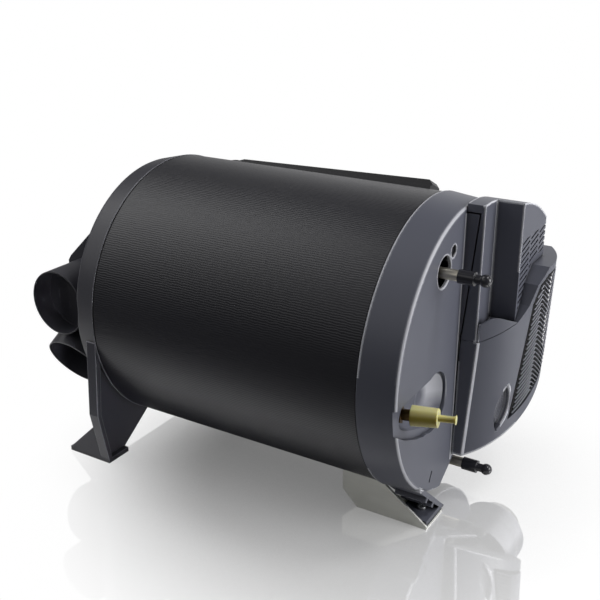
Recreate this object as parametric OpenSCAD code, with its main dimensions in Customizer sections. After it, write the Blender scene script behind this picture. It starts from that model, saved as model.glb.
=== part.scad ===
// Caravan heater for water and room air: a drum on its side, standing on moulded feet.
// X runs along the drum from the air outlets to the connections, the front is -Y and Z is up.
// The origin is on the floor, midway between the screw holes of the outlet end's two feet.

/* [Drum] */
// Outer radius of the drum jacket
drum_r = 140; // [130:1:155]
// Length of jacket that shows between the end mouldings
jacket_len = 292; // [270:1:340]
// Wall of the jacket
jacket_wall = 2; // [1.5:0.5:3]
// Wall of the foam sleeve inside the jacket
sleeve_wall = 6; // [4:1:9]
// Height of the drum's axis above the floor
axis_h = 160; // [158:1:175]

/* [Outlet end] */
// Length of the outlet end ring
ring_len = 28; // [24:1:36]
// How far the ring stands proud of the jacket
ring_proud = 0.5; // [0.3:0.1:2]
// How much the ring narrows towards its back edge
ring_taper = 6; // [3:0.5:8]
// How far each end moulding's spigot reaches into the jacket
spigot_len = 10; // [6:1:14]
// Length of the air outlet hood behind the ring
hood_len = 67; // [67:1:80]
// Wall of the hood
hood_wall = 3; // [2:0.5:4]
// Half width of the hood across the drum
hood_half = 72; // [66:1:76]
// Half height of the hood where it meets the ring
hood_top = 98; // [90:1:102]
// Bore radius of the warm-air outlets, for 65 mm ducts
outlet_r = 32.5; // [30:0.1:33]
// Wall of the outlet sockets
outlet_wall = 1.2; // [1:0.1:1.6]
// Depth of an outlet socket to its stop
outlet_depth = 22; // [16:1:23]
// Width of the stop inside an outlet socket
outlet_stop = 3; // [2:0.5:5]
// Distance of the outlet axes behind the ring
outlet_back = 30.5; // [30.5:0.1:32]
// Height of the upper outlet axes above the drum axis
outlet_rise = 7.5; // [5:0.5:14]
// How far the outlet mouths lie inside the drum's side
outlet_inset = 11.5; // [9:0.5:14]
// Angle of the lower outlets below level
lower_outlet_tilt = 31; // [30:0.5:38]

/* [Outlet feet] */
// Distance of each foot's screw hole from the middle
foot_hole_y = 118; // [112:1:124]
// Radius of the foot screw holes
foot_hole_r = 3; // [2:0.25:4]
// Distance of the screw holes behind the ring's back edge
foot_hole_setback = 10; // [8:1:14]
// Half width of a foot's base across the drum
foot_half = 15; // [12:1:18]
// Thickness of the foot bases
foot_base_t = 5; // [4:0.5:8]
// Wall of the feet
foot_wall = 5; // [3:0.5:7]
// Depth below the axis of the knee in a foot
foot_knee = 100; // [90:1:110]

/* [Connection end] */
// Length of the connection end cap
cap_len = 36.5; // [34:0.5:44]
// Wall of the end cap and of its covers
cap_wall = 3; // [2.5:0.25:4]
// How far the end cap stands proud of the jacket
cap_proud = 1.5; // [1:0.5:3]
// How much the end cap narrows towards its face
cap_taper = 3.5; // [1:0.5:5]
// Distance of the channel wall in front of the drum axis
channel_y = 10; // [8:0.5:14]
// Step from the flat face to the cover's first level
tread_rise = 17; // [15:0.5:20]
// Step from the first level to the louvred face
box_rise = 25; // [20:0.5:32]
// Distance of the louvred box's front wall behind the drum axis
box_y0 = 18; // [14:0.5:24]
// Distance of the louvred box's far wall behind the drum axis
box_y1 = 87; // [80:0.5:94]
// Gap between neighbouring covers
cover_gap = 0.4; // [0.3:0.1:1]
// Slope of the louvres
slat_tilt = 12.5; // [5:0.5:20]
// Distance between the louvres
louvre_pitch = 5.5; // [5:0.25:8]
// Width of a louvre
louvre_w = 2.2; // [1.5:0.1:3]
// Distance between the grille's slots
slat_pitch = 6; // [5:0.25:8]
// Width of a slot in the grille
slat_gap = 2; // [1:0.1:2.5]
// Fall of the grille's slots from their ridge
slat_fall = 37; // [30:1:42]
// Distance of that ridge behind the drum axis
slat_ridge_y = 48; // [40:1:56]
// Width of the groove round the grille
groove_w = 2.4; // [1.5:0.1:3.5]

/* [Bulged cover] */
// Radius of the lower cover's bulge at its shelf
bulge_r = 90; // [86:0.5:94]
// Loss of that radius at the foot of the bulge
bulge_taper = 6.5; // [0:0.5:10]
// Distance of the bulge's axis behind the flat face
bulge_back = 31; // [28:0.5:34]
// Distance of the bulge's axis behind the drum axis
bulge_y = 63; // [60:0.5:66]
// Height of the cover's shelf above the drum axis
shelf_rise = 73; // [70:1:78]
// Depth of the slanted underside below the drum axis
under_drop = 111; // [106:1:114]
// Rise of the slanted underside for each unit of width
under_slope = 0.6; // [0.5:0.02:0.64]
// How far the lower cover's edge stays above that underside
cover_lift = 9; // [6:0.5:12]

/* [Connection foot] */
// Thickness of the sheet-metal bracket
bracket_t = 2; // [1.5:0.25:3]
// Length of the bracket along the drum
bracket_len = 89; // [84:1:96]
// Distance of the bracket's upright side from the middle
bracket_y = 68; // [64:1:72]
// Width of the bracket's floor flange
bracket_flange = 37; // [34:1:42]
// Radius of the bracket's floor screw holes
bracket_hole_r = 3; // [2:0.25:4]
// Spacing of the bracket's floor holes along the drum
bracket_hole_x = 28; // [24:1:30]
// Distance of the bracket's floor holes from the middle
bracket_hole_y = 48; // [44:1:52]

/* [Pipes] */
// Radius of the water pipes
pipe_r = 5; // [4:0.25:6]
// Wall of the water pipes
pipe_wall = 1; // [0.75:0.25:1.5]
// Wall of the push-on caps
cap_skin = 1.2; // [0.8:0.1:2]
// Radial clearance of push-on caps and running shafts
running_gap = 0.05; // [0.03:0.01:0.08]
// How far the water pipes stand out of the flat face
pipe_out = 27.5; // [24:0.5:34]
// Length of the push-on caps
push_cap_len = 29; // [24:0.5:34]
// Radius of the gas fitting's stub
gas_r = 5; // [4:0.25:6]
// Swing of the gas fitting towards the middle
gas_swing = 11; // [5:0.5:15]
// Lift of the gas fitting
gas_lift = 4; // [0:0.5:8]
// Outer radius of the exhaust pipe
exhaust_r = 27.5; // [25:0.5:28]
// Outer radius of the combustion-air collar
collar_r = 40; // [38:0.5:41]
// How far the collar stands out from the drum's side
collar_out = 28; // [24:1:34]

/* [Tank and burner] */
// Outer radius of the water tank
tank_r = 118; // [114:0.5:122]
// Inner radius of the water tank's ring
tank_bore_r = 74; // [70:0.5:78]
// Length of the water tank
tank_len = 218; // [190:1:224]
// Wall of the water tank
tank_wall = 1.5; // [1:0.25:2]
// Outer radius of the heat exchanger's tube
core_r = 44; // [42:0.5:46]
// Wall of the heat exchanger's tube
core_wall = 4; // [3:0.25:5]
// Number of heat exchanger fins
fin_count = 20; // [12:1:28]
// Thickness of a heat exchanger fin
fin_t = 2.5; // [1.5:0.25:3.5]
// Radius of the burner tube
burner_r = 30; // [29:0.5:33]

/* [Hidden] */
$fn = 96;

// Play between pieces that seat on each other
seat = 0.1;
// Play round pieces that drop in
loose = 0.3;
// Overshoot of a cut past the face that it opens
over = 1;
// A length past every side of the object
far = 400;

ring_x0 = foot_hole_setback;
ring_x1 = ring_x0 + ring_len;
jacket_x1 = ring_x1 + jacket_len;
face_x = jacket_x1 + cap_len;
tread_x = face_x + tread_rise;
box_x = tread_x + box_rise;
ring_r = drum_r + ring_proud;
ring_back_r = ring_r - ring_taper;
spigot_r = drum_r - jacket_wall - seat;
ring_inner_r = ring_back_r - 3.5;
sleeve_r = spigot_r;
end_wall = 6;
edge_round = 3;
cap_rim_r = drum_r + cap_proud;
cap_r = cap_rim_r - cap_taper;
cap_inner_r = cap_r - 2 * edge_round;
ledge_x = jacket_x1 + 10;
cover_x0 = face_x + cover_gap;

// Outlet hood
hood_x0 = ring_x0 - hood_len;
hood_flange_r = ring_back_r - edge_round - 3;
hood_shoulder = 37;
socket_r = outlet_r + outlet_wall;
air_port_r = 62;
hood_screw_pcr = hood_flange_r - 6;
outlet_x = ring_x0 - outlet_back;
outlet_mouth_r = drum_r - outlet_inset;

// Mounting plate and what it carries
plate_t = 2;
plate_x1 = jacket_x1 - 6;
plate_x0 = plate_x1 - plate_t;
tank_x1 = plate_x0 - 14;
tank_x0 = tank_x1 - tank_len;
burner_flange_t = 3;
burner_flange_r = burner_r + 8;
burner_x1 = plate_x1 + burner_flange_t;
burner_len = 120;
port_y = -20;
port_w = 10;
port_r = 5.5;

// Combustion fan
comb_y = -45;
comb_w = 22;
comb_r = 38;
comb_wall = 2;
comb_len = 23;
comb_x1 = burner_x1 + comb_len;
comb_motor_r = 18;
comb_motor_len = 10;
comb_wheel_r = comb_r - comb_wall - 4;
shaft_r = 2.5;

// Circulation fan
circ_r = drum_r * 0.3;
circ_off = (cap_inner_r - circ_r - 2) / sqrt(2);
circ_y = circ_off;
circ_w = circ_off;
circ_wall = 2;
circ_x1 = face_x - cap_wall - 2;
circ_wheel_r = circ_r - circ_wall - 3;
circ_motor_r = 20;
circ_motor_len = 9;
circ_vent_r = 7;
circ_vent_pcr = 30;

// Water pipes
hot_y = -drum_r * 57 / 140;
hot_w = drum_r * 91 / 140;
cold_y = 5;
cold_w = 16 - drum_r;
cold_tank_w = 20 - tank_r;
cold_bend = 7;
cold_turn_x = jacket_x1 + 2;
hot_end_x = face_x + pipe_out;
cold_end_x = hot_end_x - 7;
grip = 12.5;
hot_cap_x0 = hot_end_x - grip;
cold_cap_x0 = cold_end_x - grip;
push_cap_r = pipe_r + cap_skin;

// Gas fitting, in its scooped pocket
gas_y = 26 - drum_r;
gas_w = -21;
gas_depth = 15;
gas_plate_r = 12;
gas_plate_t = 2.5;
gas_hex_len = 6;
gas_stub_len = 34;
gas_tail = cap_wall + 4;
gas_cap_from = 17;
gas_cap_body = 23;
gas_cap_stem = 15;
gas_cap_r = 9;
gas_stem_r = 3;
scoop_from = [-5, gas_y, gas_w];
scoop_to = [13.2, gas_y + 56, gas_w - 10];
recess_depth = 3.5;
scoop_r0 = 12.5;
scoop_r1 = 30;

// Bracket under the connection foot
bracket_x1 = face_x + 3;
bracket_mid_x = bracket_x1 - 53;
foot_base_x0 = face_x - 28;
foot_screw_x = face_x - 12;
foot_screw_y = 46;
screw_head_r = 4.6;

// Reset button
reset_y = -drum_r * 34.6 / 140;
reset_w = drum_r * 104 / 140;
reset_hole_r = 5.7;
reset_r = 4.8;

// Exhaust and combustion air, out of the rear
port_x = jacket_x1 + 26;
port_drop = -10;
collar_wall = 2;
// Step that stops a hose on the collar and on the exhaust pipe
swage = 0.6;
collar_grip = 24;
exhaust_grip = 20;
collar_y0 = drum_r - 26;
collar_y1 = drum_r + collar_out;
exhaust_y1 = collar_y1 + 22;
exhaust_wall = 1;
exhaust_bend = exhaust_r + 2.5;
exhaust_turn_y = 66;

function turned(v) = [-v.y, v.x] / norm(v);

// Outline p, counter-clockwise, with every side moved in by t
function inset(p, t) = [
  for (i = [0 : len(p) - 1])
    let (
      before = p[(i + len(p) - 1) % len(p)],
      after = p[(i + 1) % len(p)],
      n0 = turned(p[i] - before),
      n1 = turned(after - p[i])
    )
    p[i] + t * (n0 + n1) / (1 + n0 * n1)
];

// Height of the slanted underside at a place across the drum
function under_w(y) = under_slope * y - under_drop;

// Height of the lower cover's slanted edge at a place across the drum
function cover_under_w(y) = (under_slope + 0.06) * y - under_drop + cover_lift;

// Line between the two covers, from the channel to the rear
seam = [
  [-channel_y, 12], [box_y0, 28], [box_y0 + 11, 42], [box_y0 + 20, 60],
  [box_y0 + 38, shelf_rise], [drum_r + 20, shelf_rise]
];

// The lower cover's area and the electronics cover's area on the end
intake_area = [
  [-channel_y, cover_under_w(-channel_y)], [drum_r + 20, cover_under_w(drum_r + 20)],
  seam[5], seam[4], seam[3], seam[2], seam[1], seam[0]
];
electronics_area = [
  seam[0], seam[1], seam[2], seam[3], seam[4], seam[5],
  [drum_r + 20, drum_r + 20], [-channel_y, drum_r + 20]
];
box_area = [
  seam[1], seam[2], seam[3], seam[4], [box_y1, shelf_rise],
  [box_y1, drum_r + 20], [box_y0, drum_r + 20]
];
groove_t = 1.2;
finger_off = 46;
finger_r = 51;
louvre_rows = 13;
louvre_len = 21;
louvre_w0 = 33;
louvre_cut = 8;
louvre_area = [
  [box_y0 + 4, seam[1].y + 10], seam[2] + [4, 6], seam[3] + [4, 6], seam[4] + [2, 6],
  [box_y1 + 10, shelf_rise + 6], [box_y1 + 10, 104], [box_y0 + 4, 104]
];
recess_r = 28.5;
recess_area = [
  [-cap_r - over, gas_w - 7], [gas_y - 5, gas_w - 19.5], [gas_y + 17, gas_w - 29.5],
  [gas_y + 35, gas_w - 35.5],
  [gas_y + 54, gas_w - 35], [gas_y + 54, gas_w + 17], [-cap_r - over, gas_w + 15.5]
];
grille_area = [
  [21, cover_under_w(21) + 14], [108, cover_under_w(108) + 10], [108, shelf_rise - 7],
  [box_y0 + 38, shelf_rise - 7], [box_y0 + 24, 59], [box_y0 + 16, 42]
];

// Extrudes an outline given across (Y) and up (from the drum's axis) along the drum
module slab(x0, x1) {
  translate([x0, 0, axis_h]) rotate([90, 0, 90]) linear_extrude(x1 - x0) children();
}

// Revolves an outline given as radius and place along the drum
module spin() {
  translate([0, 0, axis_h]) rotate([0, 90, 0]) rotate_extrude() children();
}

module rod(x0, x1, y, w, r) {
  slab(x0, x1) translate([y, w]) circle(r);
}

module tube(x0, x1, y, w, r, wall) {
  slab(x0, x1) translate([y, w]) difference() {
    circle(r);
    circle(r - wall);
  }
}

// A round bar between two points, from radius r0 to r1
module bar(a, b, r0, r1) {
  d = b - a;
  translate(a) rotate([0, acos(d.z / norm(d)), atan2(d.y, d.x)]) cylinder(h = norm(d), r1 = r0, r2 = r1);
}

// A pipe along straight runs with ball corners
module run(points, r) {
  for (i = [1 : len(points) - 1]) bar(points[i - 1], points[i], r, r);
  for (i = [1 : len(points) - 2]) translate(points[i]) sphere(r + 0.2);
}

// Both the front piece and its mirror image at the rear
module both_sides() {
  children();
  mirror([0, 1, 0]) children();
}

// Everything lower than the slanted underside
module below_underside(t = 0) {
  polygon([
    [-far, under_w(-far) + t], [-far, -2 * far], [far, -2 * far], [far, under_w(far) + t]
  ]);
}

module jacket() {
  color("#1d1e20") difference() {
    slab(ring_x1 + seat, jacket_x1 - seat) difference() {
      circle(drum_r);
      circle(drum_r - jacket_wall);
    }
    collar_hole(collar_r + loose);
  }
}

module insulation_sleeve() {
  color("#3a3b3d") difference() {
    slab(ring_x1 + spigot_len + seat, jacket_x1 - spigot_len - seat) difference() {
      circle(sleeve_r);
      circle(sleeve_r - sleeve_wall);
    }
    collar_hole(collar_r + loose);
  }
}

module collar_hole(r) {
  translate([port_x, collar_y0 - 30, axis_h + port_drop]) rotate([-90, 0, 0]) cylinder(h = far, r = r);
}

module outlet_end_ring() {
  color("#151617") difference() {
    union() {
      spin() polygon([
        [air_port_r, ring_x0], [ring_back_r - edge_round, ring_x0],
        [ring_back_r - edge_round * 0.3, ring_x0 + edge_round * 0.3], [ring_back_r, ring_x0 + edge_round],
        [ring_r, ring_x1 - ring_proud], [ring_r - ring_proud, ring_x1], [spigot_r, ring_x1],
        [spigot_r, ring_x1 + spigot_len], [ring_inner_r, ring_x1 + spigot_len],
        [ring_inner_r, ring_x0 + end_wall], [air_port_r, ring_x0 + end_wall]
      ]);
      both_sides() outlet_foot();
    }
    slab(ring_x0 + end_wall, ring_x1 + over) circle(ring_inner_r);
    both_sides() at_outlets() cylinder(h = far, r = socket_r + loose);
    both_sides() translate([0, -foot_hole_y, -over]) cylinder(h = foot_base_t + 2 * over, r = foot_hole_r);
  }
}

// A leg that leaves the ring's side, splays and stands on a screwed base
module outlet_foot() {
  toe = [-foot_hole_y - foot_half, -axis_h];
  heel = [foot_half - foot_hole_y, -axis_h];
  knee = [-ring_r - 3.5, -foot_knee];
  shoulder = ring_r * [-cos(8), -sin(8)];
  step = [foot_wall, 0];
  leg_x0 = ring_x1 - 12;
  leg_x1 = ring_x1 - 0.5;
  web_t = 4;
  base_x0 = -foot_half - 2;
  slab(leg_x0, leg_x1) polygon([
    shoulder, knee, toe + [0, foot_base_t], toe + [foot_wall, foot_base_t], knee + step,
    shoulder + [foot_wall + 1, -12]
  ]);
  slab(leg_x0 + 1, leg_x0 + 1 + web_t) polygon([
    shoulder + [2, -4], knee + [2, 0], toe + [2, foot_base_t / 2], heel + [0, foot_base_t / 2],
    ring_inner_r * [-0.4, -0.917] - [0, 2]
  ]);
  translate([base_x0, toe.x, 0]) cube([leg_x1 - base_x0, 2 * foot_half, foot_base_t]);
  for (y = [toe.x, heel.x - foot_wall])
    translate([0, y + foot_wall, 0]) rotate([90, 0, 0]) linear_extrude(foot_wall) polygon([
      [base_x0, foot_base_t - over], [leg_x0 + over, foot_base_t - over],
      [leg_x0 + over, axis_h - foot_knee - 14]
    ]);
}

// Side outline of the hood, along the drum and up from its axis
hood_profile = [
  [ring_x0, -hood_top], [ring_x0, hood_top], [hood_x0 + 4, hood_shoulder], [hood_x0, hood_shoulder - 6],
  [hood_x0, 24 - hood_top], [hood_x0 + 14, -hood_top]
];

// Extrudes an outline given along the drum and up from its axis, across the drum
module across(half) {
  translate([0, half, axis_h]) rotate([90, 0, 0]) linear_extrude(2 * half) children();
}

// Places a child that points up so that it points out of each front outlet
module at_outlets() {
  translate([outlet_x, 0, axis_h + outlet_rise]) rotate([90, 0, 0]) children();
  translate([outlet_x, 0, axis_h]) rotate([90 + lower_outlet_tilt, 0, 0]) children();
}

module air_outlet_hood() {
  inside = hood_half - hood_wall;
  color("#141516") difference() {
    union() {
      across(hood_half) polygon(hood_profile);
      slab(ring_x0 - hood_wall, ring_x0) circle(hood_flange_r);
      both_sides() at_outlets() translate([0, 0, hood_half - hood_wall - 20])
        cylinder(h = outlet_mouth_r - hood_half + hood_wall + 20, r = socket_r);
    }
    across(inside) polygon(inset(hood_profile, hood_wall));
    translate([ring_x0 - 2 * hood_wall, -inside, axis_h - hood_top + hood_wall])
      cube([3 * hood_wall, 2 * inside, 2 * (hood_top - 2 * hood_wall)]);
    both_sides() at_outlets() {
      translate([0, 0, outlet_mouth_r - outlet_depth]) cylinder(h = outlet_depth + over, r = outlet_r);
      translate([0, 0, hood_half - hood_wall - 24])
        cylinder(h = outlet_mouth_r - hood_half + hood_wall, r = outlet_r - outlet_stop);
    }
    at_hood_screws() translate([0, 0, -far / 2]) cylinder(h = far, r = 2 + seat);
  }
}

// Places a child that points up so that it points back out of the hood's flange
module at_hood_screws() {
  for (angle = [-30, 0, 30, 150, 180, 210])
    translate([ring_x0 - hood_wall, 0, axis_h]) rotate([angle, 0, 0])
      translate([0, 0, hood_screw_pcr]) rotate([0, -90, 0]) children();
}

module hood_screws() {
  color("#8d9094") at_hood_screws() {
    cylinder(h = 2.4, r = 3.6);
    translate([0, 0, -hood_wall]) cylinder(h = hood_wall, r = 2);
  }
}

module connection_end_cap() {
  color("#5a5c66") difference() {
    union() {
      difference() {
        union() {
          cap_rim();
          end_face();
          ledge();
          gas_boss();
        }
        slab(ledge_x + cap_wall, face_x + over) below_underside();
      }
      underside_wall();
      channel_wall();
      combustion_collar();
      connection_foot();
    }
    gas_pocket();
    rod(face_x - 2 * cap_wall, face_x + over, hot_y + 4, hot_w - 0.5, 14.5);
    rod(face_x - 2 * cap_wall, face_x + over, reset_y, reset_w, reset_hole_r);
    rod(ledge_x - over, ledge_x + 2 * cap_wall, cold_y, cold_w, pipe_r + 1);
    slab(face_x - cap_wall - over, face_x + over) translate([-57.5, -109]) rotate(62)
      square([11, 2.4], center = true);
    collar_bore();
    foot_screw_hole();
  }
}

module cap_rim() {
  spin() {
    polygon([
      [cap_inner_r, jacket_x1 - spigot_len], [spigot_r, jacket_x1 - spigot_len], [spigot_r, jacket_x1],
      [cap_rim_r - 1, jacket_x1], [cap_rim_r, jacket_x1 + 1], [cap_r, face_x - edge_round],
      [cap_r - edge_round, face_x - edge_round], [cap_r - edge_round, face_x], [cap_inner_r, face_x]
    ]);
    translate([cap_r - edge_round, face_x - edge_round]) circle(edge_round);
  }
}

// Flat D-shaped face in front of the channel
module end_face() {
  slab(face_x - cap_wall, face_x) intersection() {
    circle(cap_r - edge_round);
    translate([-far - channel_y + cap_wall, -far]) square([far, 2 * far]);
  }
}

// Closes the drum's end where the slanted underside leaves it open
module ledge() {
  slab(ledge_x, ledge_x + cap_wall) intersection() {
    circle(cap_r);
    below_underside(cap_wall);
  }
}

module underside_wall() {
  slab(ledge_x, face_x) intersection() {
    circle(cap_r - edge_round);
    difference() {
      below_underside(cap_wall);
      below_underside();
    }
  }
}

// Part of the channel's wall that belongs to the cap, up to the slanted gap
module channel_wall() {
  translate([0, cap_wall - channel_y, axis_h]) rotate([90, 0, 0]) linear_extrude(cap_wall) polygon([
    [face_x - cap_wall, under_w(0) + 6], [face_x, under_w(0) + 6], [face_x, seam[0].y],
    [face_x + 2, seam[0].y + 8], [face_x + 12, cap_r - 6], [face_x - cap_wall, cap_r - 6]
  ]);
}

module scoop(grow) {
  a = scoop_from + [face_x, 0, axis_h];
  b = scoop_to + [face_x, 0, axis_h];
  bar(a, b, scoop_r0 + grow, scoop_r1 + grow);
  translate(b) sphere(scoop_r1 + grow + 0.2);
}

// Wall behind the gas pocket
module gas_boss() {
  intersection() {
    union() {
      scoop(cap_wall);
      at_gas_fitting() translate([0, 0, -cap_wall])
        cylinder(h = 2 * gas_depth, r = gas_plate_r + 1 + cap_wall);
    }
    slab(face_x - gas_depth - 2 * cap_wall, face_x) circle(cap_r - edge_round);
  }
  slab(face_x - recess_depth - cap_wall, face_x - seat) intersection() {
    circle(cap_r - edge_round);
    recess_outline(cap_wall);
  }
}

// Shallow recess that leads from the gas pocket to the rim
module recess_outline(grow) {
  polygon(inset(recess_area, -grow));
  translate([gas_y + 54, gas_w - 10]) circle(recess_r + grow);
}

module gas_pocket() {
  scoop(0);
  at_gas_fitting() cylinder(h = far / 8, r = gas_plate_r + 1);
  slab(face_x - recess_depth, face_x + over) recess_outline(0);
  at_gas_fitting() translate([0, 0, -far / 8]) cylinder(h = far / 4, r = gas_r + 1);
}

// Places a child that points up so that it points out along the gas fitting
module at_gas_fitting() {
  translate([face_x - gas_depth, gas_y, axis_h + gas_w])
    rotate([0, -gas_lift, gas_swing]) rotate([0, 90, 0]) children();
}

module combustion_collar() {
  difference() {
    translate([port_x, collar_y0, axis_h + port_drop]) rotate([-90, 0, 0]) {
      cylinder(h = collar_y1 - collar_y0, r = collar_r - swage);
      translate([0, 0, collar_y1 - collar_y0 - collar_grip]) cylinder(h = collar_grip, r = collar_r);
    }
    slab(0, jacket_x1) circle(drum_r + loose);
    slab(jacket_x1 - over, 2 * far) circle(collar_y0 + 4);
  }
}

module collar_bore() {
  translate([port_x, collar_y0 - over, axis_h + port_drop]) rotate([-90, 0, 0])
    cylinder(h = far, r = collar_r - collar_wall);
}

// A foot whose leg leaves the cap's rim and leans in under the drum
module connection_foot() {
  floor_w = bracket_t - axis_h;
  root = (cap_r + cap_rim_r) / 2 * [-cos(54.3), -sin(54.3)];
  heel = [bracket_flange - bracket_y, floor_w];
  lean = (heel - root) / norm(heel - root);
  out = [lean.y, -lean.x];
  leg_x0 = jacket_x1 + over;
  foot_x1 = face_x + 2;
  difference() {
    union() {
      slab(leg_x0, foot_x1) polygon([
        root - 4 * lean, heel, heel + [foot_wall * 1.4, 0], root - 4 * lean - foot_wall * out
      ]);
      slab(foot_base_x0, foot_x1) translate([bracket_t + loose - bracket_y, floor_w])
        square([bracket_flange - bracket_t - loose, foot_base_t]);
      for (at = [18, 38])
        slab(leg_x0 + 6, foot_x1) polygon([
          root + at * lean - out, root + (at + 4) * lean - out,
          root + (at + 4) * lean + 4.5 * out, root + at * lean + 4.5 * out
        ]);
    }
    slab(0, jacket_x1 + over / 2) circle(drum_r + loose);
    slab(jacket_x1, 2 * far) circle(cap_r - 2);
  }
}

module foot_screw_hole() {
  translate([foot_screw_x, -foot_screw_y, 0]) {
    cylinder(h = 30, r = 2.5 + seat);
    translate([0, 0, bracket_t + foot_base_t]) cylinder(h = 14, r = screw_head_r + loose);
  }
}

module foot_screw() {
  color("#9a9da1") translate([foot_screw_x, -foot_screw_y, 0]) {
    translate([0, 0, bracket_t + foot_base_t]) cylinder(h = 3, r = screw_head_r);
    cylinder(h = bracket_t + foot_base_t, r = 2.5);
  }
}

// Folded sheet: a floor flange under the foot and an upright side that reaches the drum
module foot_bracket() {
  x0 = bracket_x1 - bracket_len;
  touch_w = -sqrt(pow(drum_r, 2) - pow(bracket_y - bracket_t, 2));
  color("#9b9d9c") difference() {
    union() {
      translate([x0 + 16, -bracket_y, 0]) cube([bracket_len - 16, bracket_flange, bracket_t]);
      translate([0, bracket_t - bracket_y, axis_h]) rotate([90, 0, 0]) linear_extrude(bracket_t) polygon([
        [x0, 16 - axis_h], [x0 + 16, -axis_h], [bracket_x1, -axis_h], [bracket_x1, bracket_t + 1 - axis_h],
        [bracket_x1 - 46, touch_w], [bracket_x1 - 46, touch_w + 4], [x0, touch_w + 4]
      ]);
    }
    slab(0, jacket_x1 + over) circle(drum_r + loose);
    slab(jacket_x1, bracket_x1 + over) circle(cap_rim_r + loose);
    for (side = [-1, 1])
      translate([bracket_mid_x + side * bracket_hole_x / 2, -bracket_hole_y, -over])
        cylinder(h = bracket_t + 2 * over, r = bracket_hole_r);
    foot_screw_hole();
  }
}

// Outline of a cover on the end, with every side moved in by t
module cover_outline(area, r, t) {
  intersection() {
    polygon(inset(area, t));
    circle(r - t);
  }
}

module electronics_cover() {
  g = cover_gap / 2;
  w = cap_wall;
  cover_r = cap_rim_r - 0.5;
  color("#565862") difference() {
    union() {
      slab(cover_x0, tread_x) cover_outline(electronics_area, cover_r, g);
      slab(tread_x - w, box_x) cover_outline(box_area, cover_r, g);
    }
    slab(cover_x0 - over, tread_x - w) cover_outline(electronics_area, cover_r, g + w);
    slab(tread_x - w - over, box_x - w) cover_outline(box_area, cover_r, g + w);
    channel_gap();
    intersection() {
      louvres();
      slab(tread_x, 2 * far) polygon(louvre_area);
    }
  }
}

// Room for the cap's own part of the channel wall, and the gap above it
module channel_gap() {
  gap = 1.4;
  translate([0, cap_wall - channel_y + seat, axis_h]) rotate([90, 0, 0]) linear_extrude(2 * cap_wall)
    polygon([
    [face_x - over, -far], [face_x + gap, seam[0].y - 20], [face_x + 2 + gap, seam[0].y + 8],
    [face_x + 12 + gap, cap_r - 6 + gap], [face_x - over, cap_r - 6 + gap]
  ]);
}

// Two columns of slanted slots through the louvred face
module louvres() {
  for (column = [0 : 2], i = [0 : louvre_rows - 1])
    translate([box_x - louvre_cut, box_y0 + 4 + column * (louvre_len + 3),
      axis_h + louvre_w0 + i * louvre_pitch])
      rotate([slat_tilt, 0, 0]) cube([2 * louvre_cut, louvre_len, louvre_w]);
}

// The lower cover's bulge: an upright cone
module bulge(t) {
  translate([face_x - bulge_back, bulge_y, axis_h - under_drop])
    cylinder(h = under_drop + shelf_rise + over, r1 = bulge_r - bulge_taper - t, r2 = bulge_r - t);
}

module intake_cover() {
  g = cover_gap / 2;
  w = cap_wall;
  color("#666873") {
    finger_lip();
    difference() {
      intersection() {
        slab(cover_x0, 2 * far) cover_outline(intake_area, cap_r, g);
        bulge(0);
      }
      intersection() {
        slab(cover_x0 - over, 2 * far) cover_outline(intake_area, cap_r, g + w);
        bulge(w);
      }
      slab(cover_x0, 2 * far) polygon(grille_area);
      finger_slot();
      channel_gap();
      collar_hole(collar_r + 2 * loose);
    }
  }
}

// Lens-shaped slot for a finger beside the grille
module at_finger_slot() {
  slab(face_x + tread_rise, 2 * far) translate([13, -59]) rotate(-8) children();
}

module finger_slot() {
  at_finger_slot() intersection() {
    translate([-finger_off, 0]) circle(finger_r);
    translate([finger_off, 0]) circle(finger_r);
  }
}

// Raised lip along the rear edge of the finger slot
module finger_lip() {
  intersection() {
    at_finger_slot() difference() {
      intersection() {
        translate([-finger_off, 0]) circle(finger_r + 2);
        translate([finger_off, 0]) circle(finger_r);
      }
      translate([-finger_off, 0]) circle(finger_r);
    }
    difference() {
      bulge(-1.2);
      bulge(cap_wall / 2);
    }
  }
}

module intake_grille() {
  color("#4b4d55") difference() {
    union() {
      intersection() {
        slab(cover_x0, 2 * far) polygon(inset(grille_area, loose));
        bulge(cap_wall - groove_t);
      }
      intersection() {
        slab(cover_x0, 2 * far) polygon(inset(grille_area, groove_w));
        bulge(0);
      }
    }
    bulge(cap_wall);
    intersection() {
      grille_slots();
      slab(cover_x0, 2 * far) polygon(inset(grille_area, groove_w + 2));
    }
    collar_hole(collar_r + 2 * loose);
  }
}

// Slots that fall away from a ridge to both sides
module grille_slots() {
  rows = ceil((under_drop + 2 * shelf_rise) / slat_pitch);
  fall = bulge_r * tan(slat_fall);
  tall = slat_gap / cos(slat_fall);
  for (i = [0 : rows - 1])
    slab(face_x, face_x + 2 * bulge_r) translate([slat_ridge_y, i * slat_pitch - under_drop]) polygon([
      [-bulge_r, -fall], [0, 0], [bulge_r, -fall], [bulge_r, tall - fall], [0, tall], [-bulge_r, tall - fall]
    ]);
}

// Black profile along the top of the drum, behind the crest
module cable_channel() {
  x0 = ring_x1 + 36;
  x1 = jacket_x1 - 25;
  half = 13;
  low = 3.5;
  high = 9.5;
  lean = 64;
  color("#17181a") difference() {
    translate([0, 0, axis_h]) rotate([lean - 90, 0, 0]) {
      translate([0, half, 0]) rotate([90, 0, 0]) linear_extrude(2 * half) polygon([
        [x0, 0], [x1, 0], [x1, drum_r + high - 6], [x0 + 6, drum_r + 1], [x0, drum_r]
      ]);
      translate([0, half - 3, 0]) rotate([90, 0, 0]) linear_extrude(2 * half - 6) polygon([
        [x0 + 4, 0], [x1, 0], [x1, drum_r + high - 4], [x1 - 4, drum_r + high],
        [x0 + 14, drum_r + low], [x0 + 4, drum_r]
      ]);
    }
    slab(0, 2 * far) circle(drum_r + seat);
  }
}

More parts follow.
